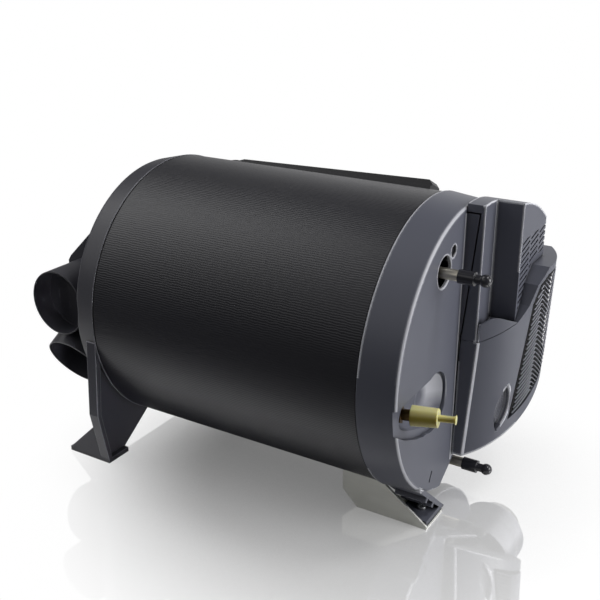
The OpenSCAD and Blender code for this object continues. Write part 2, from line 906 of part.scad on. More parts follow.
module hot_water_pipe() {
  color("#a8a493") tube(tank_x1, hot_end_x, hot_y, hot_w, pipe_r, pipe_wall);
}

// Leaves the tank, drops beside the plate and runs out under the covers
module cold_water_pipe() {
  color("#a8a493") difference() {
    cold_run(pipe_r, 0);
    cold_run(pipe_r - pipe_wall, over);
  }
}

module cold_run(r, past) {
  rod(tank_x1 - past, cold_turn_x - cold_bend, cold_y, cold_tank_w, r);
  translate([cold_turn_x - cold_bend, cold_y, axis_h + cold_tank_w - cold_bend]) rotate([90, 0, 0])
    rotate_extrude(angle = 90) translate([cold_bend, 0]) circle(r);
  translate([cold_turn_x, cold_y, axis_h + cold_w + cold_bend])
    cylinder(h = cold_tank_w - cold_w - 2 * cold_bend, r = r);
  translate([cold_turn_x + cold_bend, cold_y, axis_h + cold_w + cold_bend]) rotate([90, 180, 0])
    rotate_extrude(angle = 90) translate([cold_bend, 0]) circle(r);
  rod(cold_turn_x + cold_bend, cold_end_x + past, cold_y, cold_w, r);
}

// Push-on cap: a stepped, round-nosed plug over the pipe's end
module push_cap(x0, y, w) {
  nose_r = push_cap_r - 0.7;
  difference() {
    union() {
      rod(x0, x0 + grip + 2, y, w, push_cap_r);
      rod(x0, x0 + push_cap_len - nose_r, y, w, push_cap_r - 2.2);
      translate([x0 + push_cap_len - nose_r, y, axis_h + w]) sphere(nose_r);
    }
    rod(x0 - over, x0 + grip + loose, y, w, pipe_r + running_gap);
  }
}

module hot_water_cap() {
  color("#0f1011") push_cap(hot_cap_x0, hot_y, hot_w);
}

module cold_water_cap() {
  color("#0f1011") push_cap(cold_cap_x0, cold_y, cold_w);
}

module gas_connector() {
  color("#8a6f45") at_gas_fitting() difference() {
    union() {
      translate([0, 0, -gas_tail]) cylinder(h = gas_stub_len + gas_tail, r = gas_r);
      translate([0, 0, gas_plate_t + seat]) cylinder(h = gas_hex_len, r = gas_r + 3.5, $fn = 6);
    }
    translate([0, 0, -far / 8]) cylinder(h = far / 2, r = gas_r - 1.5);
  }
}

module gas_retainer_plate() {
  color("#5b4a36") at_gas_fitting() difference() {
    cylinder(h = gas_plate_t, r = gas_plate_r);
    translate([0, 0, -over]) cylinder(h = gas_plate_t + 2 * over, r = gas_r + seat);
  }
}

module gas_cap() {
  color("#d9d58a") at_gas_fitting() translate([0, 0, gas_cap_from]) difference() {
    union() {
      cylinder(h = gas_cap_body, r1 = gas_cap_r, r2 = gas_cap_r - 0.8);
      cylinder(h = gas_cap_body + gas_cap_stem, r = gas_stem_r);
      translate([0, 0, gas_cap_body + gas_cap_stem - 2])
        cylinder(h = 2, r1 = gas_stem_r, r2 = gas_stem_r + 1.2);
    }
    translate([0, 0, -over])
      cylinder(h = gas_stub_len - gas_cap_from + loose + over, r = gas_r + running_gap);
  }
}

// Stainless pipe that turns from the mounting plate out through the rear collar
module exhaust_pipe() {
  color("#b4b6b8") difference() {
    union() {
      exhaust_run(exhaust_r - swage, 0);
      translate([port_x, exhaust_y1 - exhaust_grip, axis_h + port_drop]) rotate([-90, 0, 0])
        cylinder(h = exhaust_grip, r = exhaust_r);
    }
    exhaust_run(exhaust_r - swage - exhaust_wall, over);
  }
}

module exhaust_run(r, past) {
  translate([port_x, exhaust_turn_y + exhaust_bend, axis_h + port_drop]) rotate([-90, 0, 0])
    cylinder(h = exhaust_y1 - exhaust_turn_y - exhaust_bend + past, r = r);
  translate([port_x - exhaust_bend, exhaust_turn_y + exhaust_bend, axis_h + port_drop]) rotate([0, 0, -90])
    rotate_extrude(angle = 90) translate([exhaust_bend, 0]) circle(r);
  rod(plate_x1 + seat - past, port_x - exhaust_bend, exhaust_turn_y, port_drop, r);
}

module mounting_plate() {
  color("#9fa2a5") slab(plate_x0, plate_x1) difference() {
    circle(cap_inner_r - seat);
    circle(burner_flange_r - 4);
    translate([hot_y, hot_w]) circle(pipe_r + loose);
    translate([cold_y, cold_tank_w]) circle(pipe_r + loose);
    translate([exhaust_turn_y, port_drop]) circle(exhaust_r - 4);
    translate([circ_y, circ_w]) for (i = [0 : 5]) rotate(i * 60) translate([circ_vent_pcr, 0])
      circle(circ_vent_r);
    translate(element_at()) circle(element_flange_r + loose);
    translate(sensor_at()) circle(sensor_r + 3);
  }
}

module water_tank() {
  color("#b9bcbe") difference() {
    slab(tank_x0, tank_x1) difference() {
      circle(tank_r);
      circle(tank_bore_r);
    }
    slab(tank_x0 + tank_wall, tank_x1 - tank_wall) difference() {
      circle(tank_r - tank_wall);
      circle(tank_bore_r + tank_wall);
    }
    rod(tank_x1 - 2 * tank_wall, tank_x1 + over, hot_y, hot_w, pipe_r - pipe_wall);
    rod(tank_x1 - 2 * tank_wall, tank_x1 + over, cold_y, cold_tank_w, pipe_r - pipe_wall);
    rod(tank_x1 - 2 * tank_wall, tank_x1 + over, element_at().x, element_at().y, element_boss_r + seat);
    rod(tank_x1 - 2 * tank_wall, tank_x1 + over, sensor_at().x, sensor_at().y, sensor_r + seat);
  }
}

module heat_exchanger() {
  fin_x1 = tank_x1 - 4;
  color("#a9abac") {
    slab(tank_x0 + 4, plate_x0) difference() {
      circle(core_r);
      circle(core_r - core_wall);
    }
    slab(tank_x0 + 4, tank_x0 + 4 + core_wall) circle(core_r);
    slab(tank_x0 + 4, fin_x1) intersection() {
      difference() {
        circle(tank_bore_r - loose);
        circle(core_r - core_wall / 2);
      }
      for (i = [0 : fin_count - 1]) rotate(i * 360 / fin_count) translate([0, -fin_t / 2])
        square([far, fin_t]);
    }
  }
}

// Burner tube with two rows of flame ports, hung from its flange
module burner() {
  row_count = 10;
  color("#96999c") difference() {
    union() {
      slab(plate_x1, burner_x1) circle(burner_flange_r);
      slab(burner_x1 - burner_len, plate_x1 + over) circle(burner_r);
    }
    slab(burner_x1 - burner_len - over, plate_x1) circle(burner_r - 1.5);
    rod(plate_x1 - over, burner_x1 + over, port_y, port_w, port_r);
    rod(plate_x1 - over, burner_x1 + over, electrode_y(), 0, electrode_r() + seat);
    rod(plate_x1 - over, burner_x1 + over, gas_jet_at().x, gas_jet_at().y, 2.5);
    for (i = [0 : row_count - 1], row = [0, 1])
      translate([burner_x1 - burner_len + 12 + row * 14, 0, axis_h]) rotate([i * 360 / row_count, 0, 0])
        translate([0, 0, burner_r - 4]) cylinder(h = 8, r = 3);
  }
}

function electrode_y() = 18;
function electrode_r() = 4;
function gas_jet_at() = [-14, -18];

module ignition_electrode() {
  color("#e6e2d8") {
    rod(plate_x1 - 12, burner_x1 + 14, electrode_y(), 0, electrode_r());
    rod(burner_x1 - burner_len + 30, plate_x1 - 12, electrode_y(), 0, 1.2);
    rod(burner_x1, burner_x1 + 3, electrode_y(), 0, electrode_r() + 2);
  }
}

module combustion_fan_housing() {
  color("#83868a") difference() {
    rod(burner_x1, comb_x1, comb_y, comb_w, comb_r);
    rod(burner_x1 + comb_wall, comb_x1 - comb_wall, comb_y, comb_w, comb_r - comb_wall);
    rod(burner_x1 - over, burner_x1 + 2 * comb_wall, port_y, port_w, port_r);
    rod(comb_x1 - 2 * comb_wall, comb_x1 + over, comb_y, comb_w, shaft_r + 2);
    for (i = [0 : 7]) rotate_on_comb(i * 45 + 22.5) rod(comb_x1 - 2 * comb_wall, comb_x1 + over, 27, 0, 4);
  }
}

module rotate_on_comb(angle) {
  translate([0, comb_y, axis_h + comb_w]) rotate([angle, 0, 0]) translate([0, 0, -axis_h]) children();
}

module combustion_fan_motor() {
  color("#2b2d30") difference() {
    rod(comb_x1, comb_x1 + comb_motor_len, comb_y, comb_w, comb_motor_r);
    rod(comb_x1 - over, comb_x1 + comb_motor_len - 2, comb_y, comb_w, shaft_r + running_gap);
  }
}

module combustion_impeller() {
  wheel_x0 = burner_x1 + comb_wall + 1.5;
  wheel_x1 = comb_x1 - comb_wall - 1.5;
  color("#c3c5c7") {
    rod(wheel_x1 - 2, wheel_x1, comb_y, comb_w, comb_wheel_r);
    rod(wheel_x0, wheel_x1, comb_y, comb_w, 6);
    rod(wheel_x1 - 2, comb_x1 + comb_motor_len - 3, comb_y, comb_w, shaft_r);
    slab(wheel_x0, wheel_x1) translate([comb_y, comb_w]) for (i = [0 : 11])
      rotate(i * 30) translate([5, -0.8]) square([comb_wheel_r - 5.5, 1.6]);
  }
}

module circulation_fan_scroll() {
  color("#2e3033") {
    tube(plate_x1 + seat, circ_x1, circ_y, circ_w, circ_r, circ_wall);
    tube(circ_x1 - circ_wall, circ_x1, circ_y, circ_w, circ_r, 8);
  }
}

module circulation_fan_motor() {
  color("#25272a") difference() {
    rod(plate_x1, plate_x1 + circ_motor_len, circ_y, circ_w, circ_motor_r);
    rod(plate_x1 + 2, plate_x1 + circ_motor_len + over, circ_y, circ_w, shaft_r + running_gap);
  }
}

// Drum wheel with blades that lean forward
module circulation_impeller() {
  wheel_x0 = plate_x1 + circ_motor_len + 1.5;
  wheel_x1 = circ_x1 - circ_wall - 1.5;
  blade_count = 24;
  color("#7d8084") {
    rod(wheel_x0, wheel_x0 + 2, circ_y, circ_w, circ_wheel_r);
    rod(wheel_x0, wheel_x0 + 8, circ_y, circ_w, 7);
    rod(plate_x1 + 3, wheel_x0 + 1, circ_y, circ_w, shaft_r);
    tube(wheel_x1 - 2, wheel_x1, circ_y, circ_w, circ_wheel_r, 5);
    slab(wheel_x0, wheel_x1) translate([circ_y, circ_w]) for (i = [0 : blade_count - 1])
      rotate(i * 360 / blade_count) translate([circ_wheel_r - 9, 0]) rotate(25) translate([0, -0.6])
        square([9, 1.2]);
  }
}

board_y = box_y0 + 6;
board_w = shelf_rise + 6;
board_len = 46;
board_wide = 34;
board_x1 = tread_x + 1.6;
valve_y0 = -98;
valve_w0 = -78;
valve_size = [24, 34, 30];
element_flange_r = 15;
element_boss_r = 11;
element_rod_r = 3.5;
sensor_r = 3;

function element_at() = (tank_r + tank_bore_r) / 2 * [cos(-40), sin(-40)];
function sensor_at() = (tank_r + tank_bore_r) / 2 * [cos(-125), sin(-125)];

module gas_valve_block() {
  color("#b3a06a") translate([plate_x1, valve_y0, axis_h + valve_w0]) cube(valve_size);
}

module valve_solenoids() {
  color("#33363a") for (i = [0, 1])
    translate([plate_x1 + valve_size.x / 2, valve_y0 + 9 + i * 16, axis_h + valve_w0 + valve_size.z])
      cylinder(h = 16, r = 7);
}

// From the gas fitting's tail to the side of the valve
module gas_inlet_pipe() {
  base = [face_x - gas_depth, gas_y, axis_h + gas_w];
  out = [cos(gas_lift) * cos(gas_swing), cos(gas_lift) * sin(gas_swing), sin(gas_lift)];
  tail = base - (gas_tail + seat) * out;
  turn = base - (gas_tail + 7) * out;
  side_y = valve_y0 - 8;
  into_w = axis_h + valve_w0 + 14;
  color("#b38a55") run([
    tail, turn, [turn.x, side_y, into_w + 24], [turn.x, side_y, into_w], [turn.x, valve_y0, into_w]
  ], 4);
}

// From the valve to the jet in the burner's flange
module burner_gas_pipe() {
  jet = gas_jet_at();
  out_w = axis_h + valve_w0 + 20;
  bend_x = burner_x1 + 8;
  color("#b38a55") difference() {
    run([
      [bend_x, valve_y0 + valve_size.y - over, out_w], [bend_x, jet.x, out_w],
      [bend_x, jet.x, axis_h + jet.y], [burner_x1 - over, jet.x, axis_h + jet.y]
    ], 2.5);
    translate([0, valve_y0 + valve_size.y - far, 0]) cube(far);
    slab(0, burner_x1) circle(burner_flange_r);
  }
}

// Plate behind the electronics cover that carries the control board
module board_tray() {
  t = cap_wall;
  color("#3b3d41") {
    difference() {
      slab(face_x - t, face_x) intersection() {
        circle(cap_inner_r - seat);
        polygon(inset(electronics_area, cap_wall + 2));
      }
      rod(face_x - 2 * t, face_x + over, circ_y, circ_w, circ_wheel_r - 6);
    }
    for (at = [[0, 0], [0, 1], [1, 1]])
      rod(face_x - over, tread_x, board_y + 4 + at.x * (board_len - 8),
        board_w + 4 + at.y * (board_wide - 8), 3);
  }
}

module control_board() {
  color("#2f5d3a") slab(tread_x, board_x1) translate([board_y, board_w]) square([board_len, board_wide]);
}

module board_components() {
  color("#1f2124") {
    for (i = [0 : 2]) slab(board_x1, board_x1 + 12) translate([board_y + 4 + i * 14, board_w + 5])
      square([11, 12]);
    for (i = [0 : 4]) slab(board_x1, board_x1 + 8) translate([board_y + 4 + i * 8, board_w + 21])
      square([6, 8]);
  }
}

// Immersion heater: two rods on a flange that closes its hole in the tank
module heating_element() {
  c = element_at();
  color("#8f9295") {
    rod(tank_x1, tank_x1 + 4, c.x, c.y, element_flange_r);
    rod(tank_x1 - 2 * tank_wall, tank_x1, c.x, c.y, element_boss_r);
    for (s = [-1, 1]) rod(tank_x1 - 150, tank_x1 + 10, c.x + s * 6, c.y, element_rod_r);
  }
}

module temperature_sensor() {
  c = sensor_at();
  color("#b08a4e") {
    rod(tank_x1 - 40, tank_x1 + 8, c.x, c.y, sensor_r);
    rod(tank_x1, tank_x1 + 5, c.x, c.y, sensor_r + 2.5);
  }
}

module reset_switch() {
  depth = 14;
  color("#232527") slab(face_x - cap_wall - depth, face_x - cap_wall - seat)
    translate([reset_y, reset_w]) difference() {
    square(15, center = true);
    circle(reset_r + running_gap);
  }
}

module reset_button() {
  color("#101112") rod(face_x - cap_wall - 9, face_x - 2, reset_y, reset_w, reset_r);
}

jacket();
insulation_sleeve();
outlet_end_ring();
air_outlet_hood();
hood_screws();
connection_end_cap();
electronics_cover();
intake_cover();
intake_grille();
cable_channel();
foot_bracket();
foot_screw();
hot_water_pipe();
cold_water_pipe();
hot_water_cap();
cold_water_cap();
gas_connector();
gas_retainer_plate();
gas_cap();
exhaust_pipe();
mounting_plate();
water_tank();
heat_exchanger();
burner();
ignition_electrode();
combustion_fan_housing();
combustion_fan_motor();
combustion_impeller();
circulation_fan_scroll();
circulation_fan_motor();
circulation_impeller();
gas_valve_block();
valve_solenoids();
gas_inlet_pipe();
burner_gas_pipe();
board_tray();
control_board();
board_components();
heating_element();
temperature_sensor();
reset_switch();
reset_button();
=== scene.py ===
# Caravan water heater: finishes, slats, screws, stage and camera
import math

import bmesh
import bpy
from mathutils import Matrix, Vector


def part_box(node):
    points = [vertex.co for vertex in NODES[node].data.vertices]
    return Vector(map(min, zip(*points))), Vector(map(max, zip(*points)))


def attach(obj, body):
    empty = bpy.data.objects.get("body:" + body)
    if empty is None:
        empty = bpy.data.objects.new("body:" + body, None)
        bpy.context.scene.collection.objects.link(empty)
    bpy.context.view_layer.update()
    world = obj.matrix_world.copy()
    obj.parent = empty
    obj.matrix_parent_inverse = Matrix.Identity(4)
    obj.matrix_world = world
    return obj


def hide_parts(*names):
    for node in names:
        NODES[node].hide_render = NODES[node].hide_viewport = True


bl_info = {
    "name": "Caravan water heater",
    "version": (1, 0, 0),
    "blender": (4, 5, 0),
    "location": "View3D > Sidebar > Heater",
    "description": "Finishes, slats, screws and stage for the caravan water heater",
    "category": "Object",
}

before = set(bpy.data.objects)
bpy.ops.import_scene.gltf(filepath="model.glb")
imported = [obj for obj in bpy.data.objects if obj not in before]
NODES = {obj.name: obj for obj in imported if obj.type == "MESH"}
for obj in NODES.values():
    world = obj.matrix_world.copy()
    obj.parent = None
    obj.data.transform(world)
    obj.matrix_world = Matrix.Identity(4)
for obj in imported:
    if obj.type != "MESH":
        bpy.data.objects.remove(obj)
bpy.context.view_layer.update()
MM = 0.001
BLACK = (0, 0, 0)

# Places on the heater, in millimetres: X runs along the drum, Y across it and Z up
DRUM_AXIS_HEIGHT, DRUM_RADIUS = 160, 140
# The opening for the grille in the lower cover, across and up, and the screen's play in it
GRILLE_OPENING = [(21, 85.9), (108, 139.3), (108, 226), (56, 226), (42, 219), (34, 202)]
GRILLE_PLAY = 0.3
# The slats' ridge across, their reach to each side, their lowest row and the height of all rows
SLAT_RIDGE_Y, SLAT_HALF_SPAN, SLAT_LOWEST, SLAT_FIELD = 48, 80, 60, 280
SLAT_ANGLE = math.radians(37)
# How finely the slats, the border and the screen are divided
SLAT_POINTS, BORDER_POINTS, SCREEN_CUTS = 161, 320, 5
# Where along X the slats are laid out, and the length of the rays that find the outline, in metres
LAYOUT_X, RAY_LENGTH = -1.0, 3.0
# The lower cover's upright cone: its axis, and its radius at two heights
CONE_X, CONE_Y = 335.5, 63.0
CONE_LOW, CONE_LOW_RADIUS = 49.0, 83.5
CONE_HIGH, CONE_HIGH_RADIUS = 234.0, 90.0
CONE_LEAN = (CONE_HIGH_RADIUS - CONE_LOW_RADIUS) / (CONE_HIGH - CONE_LOW)
# The line between the two covers, across and up, and the gap that is left along it
COVER_SEAM = [(-10, 172), (18, 188), (29, 202), (38, 220), (56, 233), (160, 233)]
SEAM_GAP = 0.5
# The upper cover's lower step along X, the top edge of the skirt on it across and up, and how the
# skirt is made: sections for each stretch, land on top, height of its foot and play to the step
TREAD_X = 383.5
SKIRT_TOP = [(-9.3, 190), (-4, 195), (0, 196), (5, 194.3), (10, 191.8), (14, 190), (17.6, 188.7)]
SKIRT_STEPS, SKIRT_LAND, SKIRT_FOOT, SKIRT_PLAY = 4, 1.6, 0.4, 0.3
# The finger slot in the lower cover: its middle across and up, its lean, and its two arcs
FINGER_SLOT, FINGER_LEAN = (13.0, 101.0), math.radians(-8)
FINGER_RADIUS, FINGER_OFFSET = 51.0, 46.0
# The slot's floor: its depth at the edge, how much deeper its middle is, its sheet, how far it runs
# under the cover, and how finely it is divided
SLOT_WALL, SLOT_DISH, SLOT_SHEET, SLOT_MARGIN = 2.6, 3.4, 1.0, 1.2
SLOT_ROWS, SLOT_COLUMNS = 24, 12
# The hood's screws: their angles from the top of the drum, their circle and where their heads bear,
# and both kinds of head by radius and height
HOOD_SCREW_ANGLES = (-30, 0, 30, 150, 180, 210)
HOOD_SCREW_CIRCLE, HOOD_SCREW_SEAT = 122.5, 7.0
HOOD_SCREW_HEAD, FOOT_SCREW_HEAD = (3.6, 2.4), (4.6, 3.0)
FOOT_SCREW_SEAT = (354.5, -46.0, 7.0)

# Where mouldings keep fine edges with no painted highlight, low and high along X, Y and Z, in
# millimetres
FINE_ZONES = [
    ((380, 410), (20.5, 125), (188, 266)),  # louvres
    ((386, 430), (19, 130), (80, 230)),  # grille
    ((386, 430), (-11, 130), (168, 236)),  # seam of the lower cover
    ((330, 372), (-142, -24), (80, 178)),  # scoop for the gas stub
    ((360, 372), (-68, -47), (36, 66)),  # drain slot under the scoop
    ((380, 430), (0, 13), (76, 126)),  # finger slot
    ((350, 381), (-14, -8), (150, 303)),  # groove beside the tread
    ((300, 380), (-120, 0), (0, 47)),  # foot of the cap
    ((310, 322), (-150, 150), (0, 310)),  # edge of the cap on the jacket
]
# Where a bright highlight is painted along an edge, given the same way
HIGHLIGHT_ZONES = [
    ((374, 396), (-9.75, -8.4), (50, 172)),  # left edge of the lower cover
    ((366, 366.8), (-12.4, -9.9), (46, 292)),  # straight edge of the cap's face
    ((383.2, 383.8), (16.2, 18.1), (192, 299)),  # corner between the tread and the louvred box
]
# How far a rounded edge has to turn from its faces, as a cosine, for its painted highlight to start
# and be full
HIGHLIGHT_TURN = (0.993, 0.965)
# Rounding that is left on fine edges
FINE_RADIUS = 0.4 * MM
# Painted shade in slots: how far round a slot it looks, the open sky where it starts and ends, how
# dark it is
SLOT_SHADE_REACH, SLOT_SHADE_SKY, SLOT_SHADE_TONE = 9 * MM, (0.3, 0.8), 0.08
# The cap's painted rim highlight lies outside this radius and fades out between these heights over
# the foot
RIM_RADIUS, RIM_FADE = 133 * MM, (34 * MM, 44 * MM)
# The painted rim highlight by its normal along the drum: off the side, off the face and how bright
# it gets
RIM_OFF_SIDE, RIM_OFF_FACE, RIM_HIGHLIGHT_SHARE = (0.2, 0.5), (0.98, 0.9), 0.6
# Painted light by normals: scoop roof highlight (up), gas cap's stub shade (across), steel foot
# highlight (along)
SCOOP_ROOF, STUB_SHADE, CUT_HIGHLIGHT = (0.45, 0.0), (0.45, 0.95), (0.25, 0.45)
# Painted shadow in the gaps at both ends of the jacket: from black to open sheet, as distances from
# each end
GAP_SHADOW_AT_RING, GAP_SHADOW_AT_CAP = (1.1 * MM, 1.7 * MM), (0.7 * MM, 1.2 * MM)
# The pressed rows: width of their wavering, and how strongly they catch the light
ROW_DRIFT, ROW_STRENGTH = 7 * MM, 0.3
# Depth of a moulding tool's grain, rounding of thin slats and screws, and rolling marks on metal:
# how far their pattern is drawn out along the drum, and how far they change the roughness
GRAIN_DEPTH, SLAT_RADIUS, SCREW_RADIUS = 0.1 * MM, 0.3 * MM, 0.2 * MM
MARK_STRETCH, MARK_SPREAD = 0.04, 0.12

# The camera, fitted to the photograph: angles round the heater and above it, aim, distance and lens
CAMERA_TURN, CAMERA_RISE = math.radians(31.375), math.radians(21.533)
CAMERA_AIM, CAMERA_DISTANCE, CAMERA_LENS = Vector((0.19033, 0, 0.17098)), 0.9552, 56.39
# Soft lamps: name, place, aim, width and height in metres, watts, and the light's angle in degrees
LAMPS = [
    ("top_softbox", (-0.7, -0.2, 1.2), (0.1, 0, 0.2), (0.9, 1.2), 7, 180),
    ("front_softbox", (-0.3, -1.4, 1.2), (0.15, 0, 0.15), (1.6, 0.9), 2.5, 180),
    ("right_softbox", (1.6, 0.25, 0.6), (0.35, 0, 0.15), (0.8, 0.8), 13.8, 180),
    ("overhead_softbox", (0.8, 0.1, 1.2), (0.39, 0.02, 0.23), (0.26, 0.26), 3.8, 180),
    ("left_softbox", (-1.1, -0.7, 0.7), (0, -0.05, 0.12), (0.6, 0.6), 1.4, 180),
    # Behind a narrow snoot, for the foot in the drum's shadow
    ("foot_softbox", (0.95, -0.62, 0.12), (0.01, -0.1, 0.07), (0.12, 0.12), 0.055, 18),
]
# The studio's light, and where its white backdrop starts and is full, by direction across the drum
STUDIO_LEVEL, BACKDROP = 0.08, (0.62, 0.92)
# The floor in metres: its reach, the oval at which it fades to white, and its dark front by Y
FLOOR_REACH = 6
OVAL_SHIFT, OVAL_SCALE, OVAL_FADE = (-0.255, 0.02, 0), (0.85, 1, 0), (0.15, 0.34)
DARK_FRONT, DARK_LEVEL = (-0.32, -0.18), 0.1
# The floor's shade under the drum, as reach, open sky and tone, and its shares of mirror and glow
SHADE_REACH, SHADE_SKY, SHADE_TONE = 0.2, (0.15, 0.85), (0.55, 1.0)
MIRROR_SHARE, GLOW_SHARE = 0.52, 0.6


def linear(hex_colour):
    """Turns an sRGB hex value into linear red, green and blue."""
    channels = [int(hex_colour[i : i + 2], 16) / 255 for i in (1, 3, 5)]
    return [c / 12.92 if c <= 0.04045 else ((c + 0.055) / 1.055) ** 2.4 for c in channels]


def colour_property(name, description, hex_colour):
    """A colour that a user can change, given as an sRGB hex value."""
    return bpy.props.FloatVectorProperty(
        name=name, description=description, default=linear(hex_colour), size=3, min=0, max=1,
        subtype="COLOR",
    )


def length_property(name, description, millimetres):
    """A length that a user can change, given in millimetres."""
    return bpy.props.FloatProperty(
        name=name, description=description, default=millimetres * MM, min=0, unit="LENGTH",
        precision=4,
    )


class HeaterColours(bpy.types.PropertyGroup):
    """Colours of the heater's finishes."""

    jacket: colour_property("Jacket", "Charcoal coat on the drum's sheet", "#222228")
    black_moulding: colour_property("Black moulding", "Outlet end's ring, hood and feet", "#3a3a41")
    # Painted highlight along the black mouldings' edges
    black_edge_highlight: colour_property("Black edge", "Rubbed edges of the black mouldings", "#8b8b94")
    grey_moulding: colour_property("Grey moulding", "Connection end's cap and covers", "#585a65")
    # Painted highlight along the grey mouldings' edges
    grey_edge_highlight: colour_property("Grey edge", "Rubbed edges of the grey mouldings", "#e0e1e8")
    # Slats painted paler than the covers' plastic, as a painted highlight
    slats_painted_light: colour_property("Grille", "Slats of the intake grille", "#a0a1ab")
    # A black sheet and border behind the slats, painted shade for the dark inside and in the groove
    screen: colour_property("Screen", "Dust screen behind the slats", "#0c0c0e")
    channel: colour_property("Cable channel", "Black profile along the top of the drum", "#1d1d21")
    water_pipe: colour_property("Water pipe", "Bare stub of the water pipes", "#dcd6c6")
    travel_cap: colour_property("Travel cap", "Caps on the water pipes", "#2e2e33")
    # Painted see-through shade on the gas cap's faces across the drum
    gas_cap: colour_property("Gas cap", "Gas cap where the stub shows through", "#97893a")
    # Pale painted light on the gas cap's top, bottom and ends
    gas_cap_highlight: colour_property("Gas cap rim", "Gas cap where its wall is clear", "#e2dd9d")
    retainer: colour_property("Retainer", "Passivated plate behind the gas stub", "#6b5636")
    bracket: colour_property("Bracket", "Steel foot at the connection end", "#a9a9a4")
    # Painted near-white highlight on the steel foot's faces that turn along the drum
    bracket_highlight: colour_property("Cut edge", "Cut edges of the steel foot", "#f2f2ee")
    floor: colour_property("Floor", "Pale sheet that the heater stands on", "#f0f0f0")


class HeaterSizes(bpy.types.PropertyGroup):
    """Sizes of the heater's surface details."""

    emboss_pitch: length_property("Embossing pitch", "Distance of the jacket's pressed rows", 2.2)
    emboss_depth: length_property("Embossing depth", "Depth of the jacket's pressed rows", 0.2)
    edge_radius: length_property("Edge radius", "Rounding of moulded edges", 1.2)
    cover_radius: length_property("Cover edge radius", "Rounding of the grey covers' edges", 3.0)
    sheet_radius: length_property("Sheet edge radius", "Rounding of cut sheet edges", 0.4)
    slat_rise: length_property("Slat rise", "Upright distance between the grille's slats", 4.5)
    slat_width: length_property("Slat width", "Width of a slat of the grille", 1.5)
    slat_depth: length_property("Slat depth", "Depth of a slat of the grille", 0.3)
    border_width: length_property("Border width", "Width of the grille's border", 1.2)
    groove_width: length_property("Groove width", "Width of the groove round the grille", 2.6)
    screen_depth: length_property("Screen depth", "How far the screen lies behind the slats", 3.0)


def add(tree, kind, links=(), **settings):
    """Adds a node, by its full kind or a shader node's short one, with its settings and links.

    A setting is in_ and an input's number, an input's name, a pair for both ends of From or To, or
    a property. A link is a node or an output, and the name or number of the input it goes into.
    """
    made = tree.nodes.new(kind if "Node" in kind else "ShaderNode" + kind)
    for name, value in settings.items():
        socket = name.replace("_", " ")
        if name.startswith("in_"):
            made.inputs[int(name[3:])].default_value = value
        elif name in ("From", "To"):
            for end, limit in zip((" Min", " Max"), value):
                made.inputs[name + end].default_value = limit
        elif socket in made.inputs:
            made.inputs[socket].default_value = value
        else:
            setattr(made, name, value)
    for source, name in links:
        output = source.outputs[0] if isinstance(source, bpy.types.Node) else source
        tree.links.new(output, made.inputs[name])
    return made


def put_in(scene, name, data):
    """A new object in the scene."""
    made = bpy.data.objects.new(name, data)
    scene.collection.objects.link(made)
    return made


def new_material(name, colour, roughness, **sockets):
    """A Principled material, with its tree and shader."""
    material = bpy.data.materials.new(name)
    material.use_nodes = True
    tree = material.node_tree
    shader = tree.nodes["Principled BSDF"]
    shader.inputs["Base Color"].default_value = (*colour, 1)
    shader.inputs["Roughness"].default_value = roughness
    for socket, value in sockets.items():
        shader.inputs[socket.replace("_", " ")].default_value = value
    return material, tree, shader


def round_edges(tree, shader, radius, surface=None):
    """Rounds the edges in the shading, under a bump if there is one."""
    rounded = add(tree, "Bevel", samples=6, Radius=radius)
    if surface is not None:
        tree.links.new(rounded.outputs["Normal"], surface.inputs["Normal"])
    tree.links.new((surface or rounded).outputs["Normal"], shader.inputs["Normal"])
    return rounded


def grain_bump(tree, grain_mm, strength):
    """The spark-eroded grain of a moulding tool, drawn coarser than it is so that it shows."""
    place = add(tree, "TexCoord").outputs["Object"]
    grain = add(tree, "TexNoise", [(place, "Vector")], Scale=1 / (grain_mm * MM), Detail=2.0)
    return add(tree, "Bump", [(grain.outputs["Fac"], "Height")], Strength=strength,
               Distance=GRAIN_DEPTH)


def in_zones(tree, zones):
    """One inside any of the zones."""
    place = add(tree, "TexCoord").outputs["Object"]
    anywhere = None
    for zone in zones:
        centre = [(low + high) / 2 * MM for low, high in zone]
        half = [(high - low) / 2 * MM for low, high in zone]
        offset = add(tree, "VectorMath", [(place, 0)], operation="SUBTRACT", in_1=centre)
        reach = add(tree, "VectorMath", [(offset, 0)], operation="ABSOLUTE")
        share = add(tree, "VectorMath", [(reach, 0)], operation="DIVIDE", in_1=half)
        x, y, z = add(tree, "SeparateXYZ", [(share, 0)]).outputs
        wider = add(tree, "Math", [(x, 0), (y, 1)], operation="MAXIMUM")
        widest = add(tree, "Math", [(wider, 0), (z, 1)], operation="MAXIMUM")
        inside = add(tree, "Math", [(widest, 0)], operation="LESS_THAN", in_1=1.0)
        if anywhere is not None:
            inside = add(tree, "Math", [(inside, 0), (anywhere, 1)], operation="MAXIMUM")
        anywhere = inside
    return anywhere


def normal_axes(tree):
    """How far a surface faces along X, Y and Z."""
    lie = add(tree, "NewGeometry").outputs["Normal"]
    return add(tree, "SeparateXYZ", [(lie, 0)]).outputs


